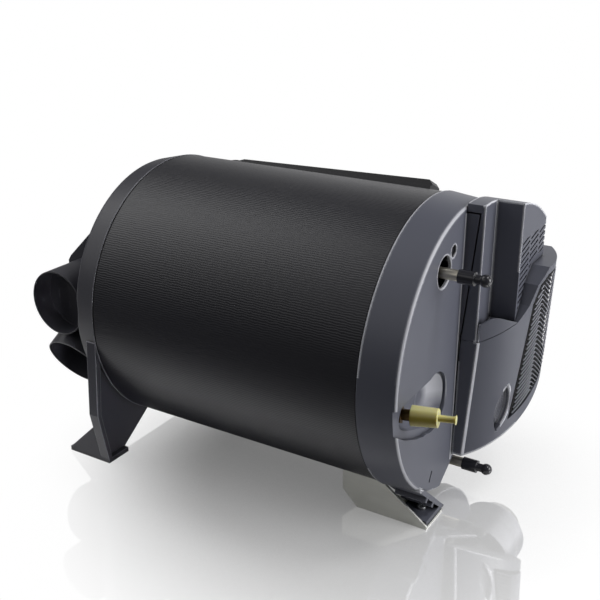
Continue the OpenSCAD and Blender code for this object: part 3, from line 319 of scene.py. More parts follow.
def rim_highlight_share(tree):
    """Share of a painted highlight where a surface turns from the end's face to its side: the cap's
    rim and scoop.
    """
    along, _, up = normal_axes(tree)
    off_side = add(tree, "MapRange", [(along, 0)], From=RIM_OFF_SIDE)
    off_face = add(tree, "MapRange", [(along, 0)], From=RIM_OFF_FACE, To=(0, RIM_HIGHLIGHT_SHARE))
    turned = add(tree, "Math", [(off_side, 0), (off_face, 1)], operation="MULTIPLY")
    # The painted rim highlight, which fades out towards the foot
    place = add(tree, "TexCoord").outputs["Object"]
    spoke = add(tree, "VectorMath", [(place, 0)], operation="SUBTRACT",
                in_1=(0, 0, DRUM_AXIS_HEIGHT * MM))
    level = add(tree, "VectorMath", [(spoke, 0)], operation="MULTIPLY", in_1=(0, 1, 1))
    away = add(tree, "VectorMath", [(level, 0)], operation="LENGTH").outputs["Value"]
    outside = add(tree, "Math", [(away, 0)], operation="GREATER_THAN", in_1=RIM_RADIUS)
    height = add(tree, "SeparateXYZ", [(place, 0)]).outputs["Z"]
    above = add(tree, "MapRange", [(height, 0)], From=RIM_FADE)
    rim = add(tree, "Math", [(outside, 0), (above, 1)], operation="MULTIPLY")
    # In the scoop only its roof, on the way to the gas stub, where a highlight is painted
    roof = add(tree, "MapRange", [(up, 0)], From=SCOOP_ROOF)
    where = add(tree, "Math", [(rim, 0), (roof, 1)], operation="MAXIMUM")
    return add(tree, "Math", [(turned, 0), (where, 1)], operation="MULTIPLY")


def paint_edge_highlight_and_slot_shade(tree, shader, rounded, colour, highlight_colour, radius, rim):
    """Lightens a moulding's edges as painted highlights, and darkens its slots as painted shade."""
    fine = in_zones(tree, FINE_ZONES)
    fillet = add(tree, "MapRange", [(fine, 0)], To=(radius, FINE_RADIUS))
    tree.links.new(fillet.outputs[0], rounded.inputs["Radius"])
    # The painted edge highlight grows as the rounded normal turns away from the face
    lie = add(tree, "NewGeometry").outputs["Normal"]
    same = add(tree, "VectorMath", [(rounded, 0), (lie, 1)], operation="DOT_PRODUCT")
    turned = add(tree, "MapRange", [(same.outputs["Value"], 0)], From=HIGHLIGHT_TURN)
    highlight_share = add(tree, "Math", [(turned, 0), (fine, 1)], operation="SUBTRACT", use_clamp=True)
    # Highlights are also painted in full in the listed zones
    polish_and_painted_highlight = in_zones(tree, HIGHLIGHT_ZONES)
    highlight_share = add(tree, "Math", [(highlight_share, 0), (polish_and_painted_highlight, 1)], operation="MAXIMUM")
    # The cap's rim and the scoop's roof get a painted highlight as well
    if rim:
        highlight_share = add(tree, "Math", [(highlight_share, 0), (rim_highlight_share(tree), 1)], operation="MAXIMUM")
    highlighted = add(tree, "Mix", [(highlight_share, 0)], data_type="RGBA", in_6=(*colour, 1),
               in_7=(*highlight_colour, 1))
    # Painted shade: darker where little open sky reaches, as in slots, seams and crevices
    sky = add(tree, "AmbientOcclusion", samples=8, Distance=SLOT_SHADE_REACH).outputs["AO"]
    unshaded = add(tree, "MapRange", [(sky, 0)], From=SLOT_SHADE_SKY)
    with_painted_shade = add(tree, "Mix", [(unshaded, 0), (highlighted.outputs[2], 7)], data_type="RGBA",
                 in_6=(*[SLOT_SHADE_TONE * c for c in colour], 1))
    tree.links.new(with_painted_shade.outputs[2], shader.inputs["Base Color"])


def colour_between(tree, shader, share, low, high):
    """Colours a shader from one colour to another by a share."""
    tone = add(tree, "Mix", [(share, 0)], data_type="RGBA", in_6=(*low, 1), in_7=(*high, 1))
    tree.links.new(tone.outputs[2], shader.inputs["Base Color"])


def dress(material, *names):
    """Gives a material to CAD nodes."""
    for name in names:
        for slot in NODES[name].material_slots:
            slot.material = material


def coated_sheet(colour, pitch, depth, radius):
    """Coated steel sheet, pressed all over with fine rows that run along the drum."""
    # Organic coating over steel: satin black that shows lamps as broad bands, broken by the rows
    satin, matt = 0.4, 1.0
    material, tree, shader = new_material("embossed_coated_steel", colour, satin, IOR=1.5)
    place = add(tree, "TexCoord").outputs["Object"]
    x, y, z = add(tree, "SeparateXYZ", [(place, "Vector")]).outputs
    height = add(tree, "Math", [(z, 0)], operation="SUBTRACT", in_1=DRUM_AXIS_HEIGHT * MM)
    turn = add(tree, "Math", [(y, 0), (height, 1)], operation="ARCTAN2")
    around = add(tree, "Math", [(turn, 0)], operation="MULTIPLY", in_1=DRUM_RADIUS * MM)
    unrolled = add(tree, "CombineXYZ", [(x, "X"), (around, "Y")])
    # The rows waver by up to their own pitch
    drift = add(tree, "TexNoise", [(unrolled, "Vector")], Scale=1 / ROW_DRIFT, Detail=1.0)
    wander = add(tree, "Math", [(drift.outputs["Fac"], 0)], operation="MULTIPLY", in_1=pitch)
    row = add(tree, "Math", [(around, 0), (wander, 1)], operation="ADD")
    phase = add(tree, "Math", [(row, 0)], operation="MULTIPLY", in_1=2 * math.pi / pitch)
    wave = add(tree, "Math", [(phase, 0)], operation="SINE")
    pressed = add(tree, "Bump", [(wave, "Height")], Strength=ROW_STRENGTH, Distance=depth)
    round_edges(tree, shader, radius, pressed)
    # The sheet turns in at both ends, under the ring and the cap, and the gap's shadow is painted
    # there as a black line
    low, high = [corner.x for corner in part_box("jacket")]
    start = add(tree, "MapRange", [(x, 0)], From=[low + inset for inset in GAP_SHADOW_AT_RING])
    end = add(tree, "MapRange", [(x, 0)], From=[high - inset for inset in GAP_SHADOW_AT_CAP])
    outside_gap_shadow = add(tree, "Math", [(start, 0), (end, 1)], operation="MULTIPLY")
    colour_between(tree, shader, outside_gap_shadow, BLACK, colour)
    dull = add(tree, "MapRange", [(outside_gap_shadow, 0)], To=(matt, satin))
    tree.links.new(dull.outputs[0], shader.inputs["Roughness"])
    return material


def moulded(name, colour, roughness, radius, grain_mm=0.9, grain=0.12, highlight_colour=None, rim=False):
    """Injection-moulded plastic with a fine tool grain and rounded edges."""
    material, tree, shader = new_material(name, colour, roughness, IOR=1.5)
    rounded = round_edges(tree, shader, radius, grain_bump(tree, grain_mm, grain))
    # Given a highlight colour: painted edge highlights, painted slot shade and, with rim, a painted
    # rim highlight
    if highlight_colour is not None:
        paint_edge_highlight_and_slot_shade(tree, shader, rounded, colour, highlight_colour, radius, rim)
    return material


def metal(name, colour, roughness, radius, mark_mm=0.0):
    """Bare or plated metal with softened edges, and any rolling marks drawn wide enough to show."""
    material, tree, shader = new_material(name, colour, roughness, Metallic=1.0)
    if mark_mm:
        place = add(tree, "TexCoord").outputs["Object"]
        stretch = add(tree, "Mapping", [(place, "Vector")], Scale=(MARK_STRETCH, 1, 1))
        marks = add(tree, "TexNoise", [(stretch, "Vector")], Scale=1 / (mark_mm * MM), Detail=3.0)
        spread = add(tree, "MapRange", [(marks.outputs["Fac"], 0)],
                     To=(roughness - MARK_SPREAD, roughness + MARK_SPREAD))
        tree.links.new(spread.outputs[0], shader.inputs["Roughness"])
    round_edges(tree, shader, radius)
    return material


class HEATER_OT_jacket(bpy.types.Operator):
    """Coat the drum's jacket"""

    bl_idname = "heater.jacket"
    bl_label = "Jacket"

    def execute(self, context):
        colours, sizes = context.scene.heater_colours, context.scene.heater_sizes
        pitch, depth, radius = sizes.emboss_pitch, sizes.emboss_depth, sizes.sheet_radius
        dress(coated_sheet(colours.jacket, pitch, depth, radius), "jacket")
        return {"FINISHED"}


class HEATER_OT_outlet_end(bpy.types.Operator):
    """Finish the ring, hood and feet at the outlet end"""

    bl_idname = "heater.outlet_end"
    bl_label = "Outlet end"

    def execute(self, context):
        colours, sizes = context.scene.heater_colours, context.scene.heater_sizes
        # Moulded polypropylene: a waxy black that turns satin where lamps graze it
        # Its edges get painted highlights and its slots painted shade
        black = moulded("black_polypropylene", colours.black_moulding, 0.42, sizes.edge_radius,
                        highlight_colour=colours.black_edge_highlight)
        dress(black, "outlet_end_ring")
        # The same plastic without painted edge highlights and painted slot shade
        plain = moulded("polypropylene_without_painted_light", colours.black_moulding, 0.42, sizes.edge_radius)
        dress(plain, "air_outlet_hood", "circulation_fan_scroll", "circulation_impeller",
              "board_tray")
        return {"FINISHED"}


class HEATER_OT_connection_end(bpy.types.Operator):
    """Finish the end cap, covers and cable channel at the connection end"""

    bl_idname = "heater.connection_end"
    bl_label = "Connection end"

    def execute(self, context):
        colours, sizes = context.scene.heater_colours, context.scene.heater_sizes
        # Moulded ABS: blue-grey with a fine even grain, with painted edge highlights and painted
        # slot shade
        grey = moulded("grey_abs", colours.grey_moulding, 0.44, sizes.cover_radius,
                       highlight_colour=colours.grey_edge_highlight)
        dress(grey, "electronics_cover", "intake_cover", "intake_grille")
        # The same plastic, with a painted highlight all along the cap's rim and on the scoop's roof
        cap = moulded("grey_abs_cap", colours.grey_moulding, 0.44, sizes.cover_radius,
                      highlight_colour=colours.grey_edge_highlight, rim=True)
        dress(cap, "connection_end_cap")
        # Extruded PVC: an even dull black that only its long edges relieve
        dress(moulded("extruded_pvc", colours.channel, 0.45, sizes.sheet_radius), "cable_channel")
        return {"FINISHED"}


def sockets_in(tree, names):
    """Gives a tree its geometry sockets and named inputs, and returns its start, end and inputs."""
    tree.interface.new_socket("Geometry", in_out="INPUT", socket_type="NodeSocketGeometry")
    for name in names:
        tree.interface.new_socket(name, in_out="INPUT", socket_type="NodeSocketFloat")
    tree.interface.new_socket("Geometry", in_out="OUTPUT", socket_type="NodeSocketGeometry")
    start, end = add(tree, "NodeGroupInput"), add(tree, "NodeGroupOutput")
    return start, end, {name: start.outputs[name] for name in names}


def carry_to_cone(tree, given, geometry, lift):
    """Moves flat geometry along the drum, to a lift above the cover's upright cone."""
    place = add(tree, "GeometryNodeInputPosition")
    _, y, z = add(tree, "SeparateXYZ", [(place, 0)]).outputs
    above = add(tree, "Math", [(z, 0), (given["Cone foot"], 1)], operation="SUBTRACT")
    radius = add(tree, "Math", [(above, 0), (given["Cone lean"], 1), (given["Cone radius"], 2)],
                 operation="MULTIPLY_ADD")
    radius = add(tree, "Math", [(radius, 0), (lift, 1)], operation="ADD")
    across = add(tree, "Math", [(y, 0), (given["Cone Y"], 1)], operation="SUBTRACT")
    radius_squared = add(tree, "Math", [(radius, 0), (radius, 1)], operation="MULTIPLY")
    across_squared = add(tree, "Math", [(across, 0), (across, 1)], operation="MULTIPLY")
    rest = add(tree, "Math", [(radius_squared, 0), (across_squared, 1)], operation="SUBTRACT")
    out = add(tree, "Math", [(rest, 0)], operation="SQRT")
    along = add(tree, "Math", [(out, 0), (given["Cone X"], 1)], operation="ADD")
    spot = add(tree, "CombineXYZ", [(along, 0), (y, 1), (z, 2)])
    return add(tree, "GeometryNodeSetPosition", [(geometry, "Geometry"), (spot, "Position")])


def bar_along(tree, given, curve, width, depth):
    """Sweeps a flat bar along a curve on the cone, square to the cone."""
    place = add(tree, "GeometryNodeInputPosition")
    axis = add(tree, "CombineXYZ", [(given["Cone X"], 0), (given["Cone Y"], 1)])
    spoke = add(tree, "VectorMath", [(place, 0), (axis, 1)], operation="SUBTRACT")
    level = add(tree, "VectorMath", [(spoke, 0)], operation="MULTIPLY", in_1=(1, 1, 0))
    facing = add(tree, "VectorMath", [(level, 0)], operation="NORMALIZE")
    turned = add(tree, "GeometryNodeSetCurveNormal", [(curve, "Curve"), (facing, "Normal")],
                 mode="FREE")
    section = add(tree, "GeometryNodeCurvePrimitiveQuadrilateral",
                  [(width, "Width"), (depth, "Height")])
    return add(tree, "GeometryNodeCurveToMesh", [(turned, "Curve"), (section, "Profile Curve")],
               Fill_Caps=True)


def grille_tree(names, plastic, screen):
    """Slats that fall from a ridge, cut to an outline, with a border and a screen, on the cone."""
    tree = bpy.data.node_groups.new("intake_grille", "GeometryNodeTree")
    start, end, given = sockets_in(tree, names)
    # The first face of the given mesh is the screen's outline, and the second trims the slats
    number = add(tree, "GeometryNodeInputIndex")
    faces = add(tree, "GeometryNodeSeparateGeometry",
                [(start.outputs["Geometry"], "Geometry"), (number, "Selection")], domain="FACE")
    trim, sheet = faces.outputs["Selection"], faces.outputs["Inverted"]

    right = add(tree, "CombineXYZ", [(given["Half span"], 1)], in_0=LAYOUT_X)
    left = add(tree, "VectorMath", [(right, 0)], operation="MULTIPLY", in_1=(1, -1, 1))
    line = add(tree, "GeometryNodeCurvePrimitiveLine", [(left, "Start"), (right, "End")])
    points = add(tree, "GeometryNodeResampleCurve", [(line, "Curve")], mode="COUNT",
                 Count=SLAT_POINTS)
    lowest = add(tree, "CombineXYZ", [(given["Lowest row"], 2)])
    rise = add(tree, "CombineXYZ", [(given["Slat rise"], 2)])
    rows = add(tree, "GeometryNodeMeshLine",
               [(given["Rows"], "Count"), (lowest, "Start Location"), (rise, "Offset")])
    spread = add(tree, "GeometryNodeInstanceOnPoints", [(rows, "Points"), (points, "Instance")])
    slats = add(tree, "GeometryNodeRealizeInstances", [(spread, "Geometry")])
    place = add(tree, "GeometryNodeInputPosition")
    across = add(tree, "SeparateXYZ", [(place, 0)]).outputs["Y"]
    from_ridge = add(tree, "Math", [(across, 0)], operation="ABSOLUTE")
    drop = add(tree, "Math", [(from_ridge, 0), (given["Slat fall"], 1)], operation="MULTIPLY")
    down = add(tree, "Math", [(drop, 0)], operation="MULTIPLY", in_1=-1.0)
    shift = add(tree, "CombineXYZ", [(given["Ridge Y"], 1), (down, 2)])
    bent = add(tree, "GeometryNodeSetPosition", [(slats, "Geometry"), (shift, "Offset")])
    inside = add(tree, "GeometryNodeRaycast", [(trim, "Target Geometry")], Ray_Direction=(1, 0, 0),
                 Ray_Length=RAY_LENGTH)
    outside = add(tree, "FunctionNodeBooleanMath", [(inside.outputs["Is Hit"], 0)], operation="NOT")
    cut = add(tree, "GeometryNodeDeleteGeometry", [(bent, "Geometry"), (outside, "Selection")],
              domain="POINT")
    laid = carry_to_cone(tree, given, cut, given["Slat lift"])
    slat_bars = bar_along(tree, given, laid, given["Slat width"], given["Slat depth"])

    edge = add(tree, "GeometryNodeMeshToCurve", [(trim, "Mesh")])
    fine = add(tree, "GeometryNodeResampleCurve", [(edge, "Curve")], mode="COUNT",
               Count=BORDER_POINTS)
    rim = carry_to_cone(tree, given, fine, given["Border lift"])
    rim_bar = bar_along(tree, given, rim, given["Border width"], given["Border depth"])

    fanned = add(tree, "GeometryNodeTriangulate", [(sheet, "Mesh")])
    split = add(tree, "GeometryNodeSubdivideMesh", [(fanned, "Mesh")], Level=SCREEN_CUTS)
    behind = carry_to_cone(tree, given, split, given["Screen lift"])
    # The border lies in the groove's shadow and is painted black with the sheet
    backing = add(tree, "GeometryNodeJoinGeometry", [(behind, 0), (rim_bar, 0)])
    marked = add(tree, "GeometryNodeStoreNamedAttribute", [(backing, "Geometry")],
                 data_type="BOOLEAN", domain="FACE", Name="screen", Value=True)

    joined = add(tree, "GeometryNodeJoinGeometry", [(marked, 0), (slat_bars, 0)])
    whole = add(tree, "GeometryNodeRealizeInstances", [(joined, "Geometry")])
    dressed = add(tree, "GeometryNodeSetMaterial", [(whole, "Geometry")], Material=plastic)
    is_shade_sheet = add(tree, "GeometryNodeInputNamedAttribute", data_type="BOOLEAN", Name="screen")
    screened = add(tree, "GeometryNodeSetMaterial",
                   [(dressed, "Geometry"), (is_shade_sheet, "Selection")], Material=screen)
    tree.links.new(screened.outputs[0], end.inputs[0])
    return tree


def shrunk(outline, margin):
    """An outline moved inwards by a margin, its corners kept sharp."""
    moved = []
    for i, corner in enumerate(outline):
        here, before = Vector(corner), Vector(outline[i - 1])
        after = Vector(outline[(i + 1) % len(outline)])
        steps = here - before, after - here
        one, two = [Vector((-step.y, step.x)).normalized() for step in steps]
        moved.append(here + margin * (one + two) / (1 + one.dot(two)))
    return moved


def apply_tree(scene, name, mesh, tree, values):
    """Runs a tree on a mesh with its named inputs, and returns a plain object with the result."""
    maker = put_in(scene, name + "_maker", mesh)
    modifier = maker.modifiers.new("shape", "NODES")
    modifier.node_group = tree
    for socket in tree.interface.items_tree:
        if socket.in_out == "INPUT" and socket.name in values:
            modifier[socket.identifier] = values[socket.name]
    seen = maker.evaluated_get(bpy.context.evaluated_depsgraph_get())
    piece = put_in(scene, name, bpy.data.meshes.new_from_object(seen))
    maker.modifiers.remove(modifier)
    bpy.data.objects.remove(maker)
    return piece


class HEATER_OT_intake_grille(bpy.types.Operator):
    """Make the slatted intake grille of the lower cover"""

    bl_idname = "heater.intake_grille"
    bl_label = "Intake grille"

    def execute(self, context):
        colours, sizes = context.scene.heater_colours, context.scene.heater_sizes
        # Moulded ABS slats, painted paler than the covers as a highlight, so that they show against
        # the black of the gaps
        plastic = moulded("slat_abs", colours.slats_painted_light, 0.42, SLAT_RADIUS)
        # A matt black sheet behind the slats, painted shade so that the gaps between the slats read
        # as holes
        screen = moulded("painted_shade_sheet", colours.screen, 0.9, SLAT_RADIUS, 1.2, 0.5)
        outer = shrunk(GRILLE_OPENING, GRILLE_PLAY)
        inner = shrunk(GRILLE_OPENING, (sizes.groove_width + sizes.border_width / 2) / MM)
        corners = [(0, y * MM, z * MM) for y, z in outer + inner]
        count = len(outer)
        flat = bpy.data.meshes.new("grille_outline")
        flat.from_pydata(corners, [], [range(count), range(count, 2 * count)])
        values = {
            "Rows": SLAT_FIELD * MM / sizes.slat_rise,
            "Slat rise": sizes.slat_rise,
            "Slat fall": math.tan(SLAT_ANGLE),
            "Ridge Y": SLAT_RIDGE_Y * MM,
            "Half span": SLAT_HALF_SPAN * MM,
            "Lowest row": SLAT_LOWEST * MM,
            "Slat width": sizes.slat_width,
            "Slat depth": sizes.slat_depth,
            "Border width": sizes.border_width,
            "Border depth": sizes.screen_depth - sizes.slat_depth,
            "Border lift": -(sizes.screen_depth + sizes.slat_depth) / 2,
            "Slat lift": -sizes.slat_depth / 2,
            "Screen lift": -sizes.screen_depth,
            "Cone X": CONE_X * MM,
            "Cone Y": CONE_Y * MM,
            "Cone radius": CONE_LOW_RADIUS * MM,
            "Cone foot": CONE_LOW * MM,
            "Cone lean": CONE_LEAN,
        }
        tree = grille_tree(values, plastic, screen)
        piece = apply_tree(context.scene, "intake_grille_slats", flat, tree, values)
        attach(piece, "intake_cover")
        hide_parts("intake_grille")
        return {"FINISHED"}


def height_on(line, y):
    """Height at a place across, on a line given by its points."""
    for (y0, z0), (y1, z1) in zip(line, line[1:]):
        if y <= y1:
            return z0 + (z1 - z0) * (y - y0) / (y1 - y0)
    return line[-1][1]


def cone_face(y, z):
    """Place along the drum of the lower cover's outside, in millimetres."""
    radius = CONE_LOW_RADIUS + CONE_LEAN * (z - CONE_LOW)
    return CONE_X + math.sqrt(radius**2 - (y - CONE_Y) ** 2)


def lofted(name, sections, unit):
    """A closed mesh through like sections, given in a unit of length."""
    shape = bmesh.new()
    loops = [[shape.verts.new(Vector(point) * unit) for point in section] for section in sections]
    for one, two in zip(loops, loops[1:]):
        for i in range(len(one)):
            j = (i + 1) % len(one)
            shape.faces.new((one[i], one[j], two[j], two[i]))
    shape.faces.new(loops[0])
    shape.faces.new(loops[-1])
    bmesh.ops.recalc_face_normals(shape, faces=shape.faces)
    mesh = bpy.data.meshes.new(name)
    shape.to_mesh(mesh)
    shape.free()
    return mesh


def skirt_sections():
    """Sections of the upper cover's skirt, which carries the lower cover's outside up to it."""
    places = [y for y, _ in SKIRT_TOP]
    across = [
        y0 + (y1 - y0) * step / SKIRT_STEPS
        for y0, y1 in zip(places, places[1:]) for step in range(SKIRT_STEPS)
    ]
    sections, inner = [], TREAD_X + SKIRT_PLAY
    for y in across + places[-1:]:
        foot, top = height_on(COVER_SEAM, y) + SEAM_GAP, height_on(SKIRT_TOP, y)
        low, high = cone_face(y, foot), cone_face(y, top)
        sections.append([(low, y, foot), (high, y, top), (high - SKIRT_LAND, y, top),
                         (inner, y, foot + SKIRT_FOOT), (inner, y, foot)])
    return sections


def slot_floor_sections():
    """Sections of the dished floor that lies behind the finger slot."""
    radius = FINGER_RADIUS + SLOT_MARGIN
    reach = math.sqrt(radius**2 - FINGER_OFFSET**2)
    sine, cosine = math.sin(FINGER_LEAN), math.cos(FINGER_LEAN)
    sections = []
    for row in range(1, SLOT_ROWS):
        along = reach * math.cos(math.pi * row / SLOT_ROWS)
        half = math.sqrt(radius**2 - along**2) - FINGER_OFFSET
        front = []
        for column in range(SLOT_COLUMNS + 1):
            share = 2 * column / SLOT_COLUMNS - 1
            across = half * share
            y = FINGER_SLOT[0] + across * cosine - along * sine
            z = FINGER_SLOT[1] + across * sine + along * cosine
            depth = SLOT_WALL + SLOT_DISH * (1 - share**2) * (1 - (along / reach) ** 2)
            front.append((cone_face(y, z) - depth, y, z))
        sections.append(front + [(x - SLOT_SHEET, y, z) for x, y, z in reversed(front)])
    return sections


class HEATER_OT_cover_details(bpy.types.Operator):
    """Make the upper cover's skirt and the floor of the lower cover's finger slot"""

    bl_idname = "heater.cover_details"
    bl_label = "Cover details"

    def execute(self, context):
        for name, sections, body in (
            ("electronics_cover_skirt", skirt_sections(), "electronics_cover"),
            ("finger_slot_floor", slot_floor_sections(), "intake_cover"),
        ):
            piece = put_in(context.scene, name, lofted(name, sections, MM))
            piece.data.materials.append(bpy.data.materials["grey_abs"])
            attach(piece, body)
        return {"FINISHED"}


def screw_head_mesh():
    """One pan head of radius and height 1 about Z, with a cross recess."""
    # Rings of the dome, from the rim's foot to the middle: radius and height
    rings = [(1, 0), (1, 0.35), (0.94, 0.62), (0.8, 0.82), (0.6, 0.94), (0.42, 0.98), (0.2, 1)]
    sides, arms, arm_width, recess, arm_reach, hub = 32, 4, 2, 0.5, 0.62, 0.3
    sections = []
    for radius, height in rings:
        section = []
        for i in range(sides):
            angle = 2 * math.pi * i / sides
            in_cross = (i + 1) % (sides // arms) <= arm_width or radius < hub
            sunk = height - recess if radius < arm_reach and in_cross else height
            section.append((radius * math.cos(angle), radius * math.sin(angle), sunk))
        sections.append(section)
    return lofted("screw_head", sections, 1)


def screw_tree(head, plating):
    """A screw head on every point, turned about Y."""
    tree = bpy.data.node_groups.new("screw_heads", "GeometryNodeTree")
    start, end, given = sockets_in(tree, ("Head radius", "Head height", "Turn"))
    shape = add(tree, "GeometryNodeObjectInfo", Object=head)
    turn = add(tree, "CombineXYZ", [(given["Turn"], 1)])
    size = add(tree, "CombineXYZ",
               [(given["Head radius"], 0), (given["Head radius"], 1), (given["Head height"], 2)])
    heads = add(tree, "GeometryNodeInstanceOnPoints",
                [(start.outputs["Geometry"], "Points"), (shape.outputs["Geometry"], "Instance"),
                 (turn, "Rotation"), (size, "Scale")])
    whole = add(tree, "GeometryNodeRealizeInstances", [(heads, "Geometry")])
    dressed = add(tree, "GeometryNodeSetMaterial", [(whole, "Geometry")], Material=plating)
    tree.links.new(dressed.outputs[0], end.inputs[0])
    return tree


class HEATER_OT_screws(bpy.types.Operator):
    """Make the heads of the hood's screws and of the foot's screw"""

    bl_idname = "heater.screws"
    bl_label = "Screws"

    def execute(self, context):
        scene = context.scene
        # Zinc-plated steel: pale, slightly blue and satin
        plating = metal("zinc_plated_screw", linear("#a3a5a8"), 0.34, SCREW_RADIUS)
        head = put_in(scene, "screw_head", screw_head_mesh())
        tree = screw_tree(head, plating)
        hood_seats = []
        for angle in HOOD_SCREW_ANGLES:
            across = -HOOD_SCREW_CIRCLE * math.sin(math.radians(angle))
            up = DRUM_AXIS_HEIGHT + HOOD_SCREW_CIRCLE * math.cos(math.radians(angle))
            hood_seats.append((HOOD_SCREW_SEAT, across, up))
        sets = [
            ("hood_screw_heads", "hood_screws", hood_seats, HOOD_SCREW_HEAD, -math.pi / 2),
            ("foot_screw_head", "foot_screw", [FOOT_SCREW_SEAT], FOOT_SCREW_HEAD, 0.0),
        ]
        for name, node, seats, (radius, height), turn in sets:
            points = bpy.data.meshes.new(name + "_points")
            points.from_pydata([Vector(seat) * MM for seat in seats], [], [])
            values = {"Head radius": radius * MM, "Head height": height * MM, "Turn": turn}
            piece = apply_tree(scene, name, points, tree, values)
            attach(piece, "heater")
            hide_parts(node)
        bpy.data.objects.remove(head)
        return {"FINISHED"}


class HEATER_OT_fittings(bpy.types.Operator):
    """Finish the pipes, caps and bracket"""

    bl_idname = "heater.fittings"
    bl_label = "Fittings"

    def execute(self, context):
        colours, sizes = context.scene.heater_colours, context.scene.heater_sizes
        thin = sizes.sheet_radius
        # Nickel-plated brass, dulled to a warm grey
        dress(metal("nickel_plated_brass", colours.water_pipe, 0.36, thin, 0.3), "hot_water_pipe",
              "cold_water_pipe")
        # Dipped PVC: glossy black with small sharp highlights
        dip = moulded("dipped_pvc", colours.travel_cap, 0.16, sizes.edge_radius, 3.0, 0.02)
        dress(dip, "hot_water_cap", "cold_water_cap", "reset_button")
        # Low-density polyethylene: waxy and see-through, with painted shade for the stub behind it
        # and pale painted light elsewhere
        wax, tree, shader = new_material(
            "waxy_polyethylene", colours.gas_cap, 0.3, IOR=1.51, Subsurface_Weight=0.5,
            Subsurface_Scale=1.0, Subsurface_Radius=(4 * MM, 3.4 * MM, 1.2 * MM),
        )
        round_edges(tree, shader, sizes.edge_radius)
        # Faces across the drum are painted dark as the stub seen through them, the other faces pale
        _, across, _ = normal_axes(tree)
        flank = add(tree, "Math", [(across, 0)], operation="ABSOLUTE")
        see_through_shade = add(tree, "MapRange", [(flank, 0)], From=STUB_SHADE)
        colour_between(tree, shader, see_through_shade, colours.gas_cap_highlight, colours.gas_cap)
        dress(wax, "gas_cap")
        # Yellow-chromated steel: brown and brassy in patches
        dress(metal("chromated_steel", colours.retainer, 0.35, thin, 2.0), "gas_retainer_plate",
              "gas_connector")
        # Zinc plating on drawn tube: bright, with fine lines along it
        dress(metal("zinc_plated_tube", linear("#9a9890"), 0.35, thin, 0.4), "gas_inlet_pipe",
              "burner_gas_pipe")
        # Cold-rolled sheet: dull grey with faint rolling marks, and a near-white painted highlight
        # on faces that turn along the drum
        sheet = metal("rolled_sheet_steel", colours.bracket, 0.45, thin, 0.6)
        tree = sheet.node_tree
        along, _, _ = normal_axes(tree)
        # Faces turned along the drum are painted near-white, as a highlight
        cut = add(tree, "MapRange", [(along, 0)], From=CUT_HIGHLIGHT)
        shader = tree.nodes["Principled BSDF"]
        colour_between(tree, shader, cut, colours.bracket, colours.bracket_highlight)
        dress(sheet, "foot_bracket")
        return {"FINISHED"}


class HEATER_OT_inner_parts(bpy.types.Operator):
    """Finish the pieces inside the drum"""

    bl_idname = "heater.inner_parts"
    bl_label = "Inner parts"

    def execute(self, context):
        thin = context.scene.heater_sizes.sheet_radius
        # Stainless sheet and tube: bright, with a fine rolled finish
        dress(metal("stainless_steel", linear("#bcbcba"), 0.32, thin, 0.5), "exhaust_pipe",
              "mounting_plate", "water_tank", "burner", "heating_element")
        # Die-cast aluminium, as it leaves the mould: pale and matt
        dress(metal("die_cast_aluminium", linear("#c3c4c6"), 0.5, thin, 1.5), "heat_exchanger",
              "combustion_fan_housing", "combustion_impeller")
        # Plated deep-drawn steel: smooth grey cans with soft highlights
        dress(metal("plated_motor_can", linear("#8c8d90"), 0.38, thin), "combustion_fan_motor",
              "circulation_fan_motor", "valve_solenoids")
        # Turned brass: warm yellow with fine tool marks
        dress(metal("machined_brass", linear("#c9ab6a"), 0.3, thin, 0.3), "gas_valve_block",
              "temperature_sensor")
        # Closed-cell foam: matt, with open cells at its cut ends
        dress(moulded("cut_foam", linear("#6f7072"), 0.9, thin, 2.0, 0.4), "insulation_sleeve")
        # Glazed ceramic: off-white and glossy
        dress(moulded("glazed_ceramic", linear("#e0ded6"), 0.2, thin, 4.0, 0.05),
              "ignition_electrode")
        # Lacquer over glass fibre: green, with a faint weave in its shine
        dress(moulded("solder_resist", linear("#2c5d36"), 0.3, thin, 0.6, 0.1), "control_board")
        # Thermoset component bodies: flat black
        dress(moulded("thermoset", linear("#1c1d1f"), 0.5, thin), "board_components",
              "reset_switch")
        return {"FINISHED"}


def place_camera(scene):
    """Puts the camera where the photograph was taken from."""
    back = Vector((
        math.sin(CAMERA_TURN) * math.cos(CAMERA_RISE),
        -math.cos(CAMERA_TURN) * math.cos(CAMERA_RISE),
        math.sin(CAMERA_RISE),
    ))
    right = Vector((math.cos(CAMERA_TURN), math.sin(CAMERA_TURN), 0))
    up = back.cross(right)
    lens = bpy.data.cameras.new("camera")
    lens.lens = CAMERA_LENS
    camera = put_in(scene, "camera", lens)
    turned = Matrix((right, up, back)).transposed().to_4x4()
    camera.matrix_world = Matrix.Translation(CAMERA_AIM + CAMERA_DISTANCE * back) @ turned
    scene.camera = camera


def softbox(scene, name, place, aim, size, watts, spread):
    """A soft lamp, with the angle that its light spreads over in degrees."""
    lamp = bpy.data.lights.new(name, "AREA")
    lamp.shape, lamp.size, lamp.size_y, lamp.energy = "RECTANGLE", size[0], size[1], watts
    lamp.spread = math.radians(spread)
    holder = put_in(scene, name, lamp)
    holder.location = place
    holder.rotation_euler = (Vector(aim) - Vector(place)).to_track_quat("-Z", "Y").to_euler()


def seen_directly(tree):
    """One for rays that see a surface from the camera, in a sharp mirror or through glass."""
    path = add(tree, "LightPath").outputs
    clear = add(tree, "Math", [(path["Is Camera Ray"], 0), (path["Is Singular Ray"], 1)],
                operation="MAXIMUM")
    return add(tree, "Math", [(clear, 0), (path["Is Transmission Ray"], 1)], operation="MAXIMUM")


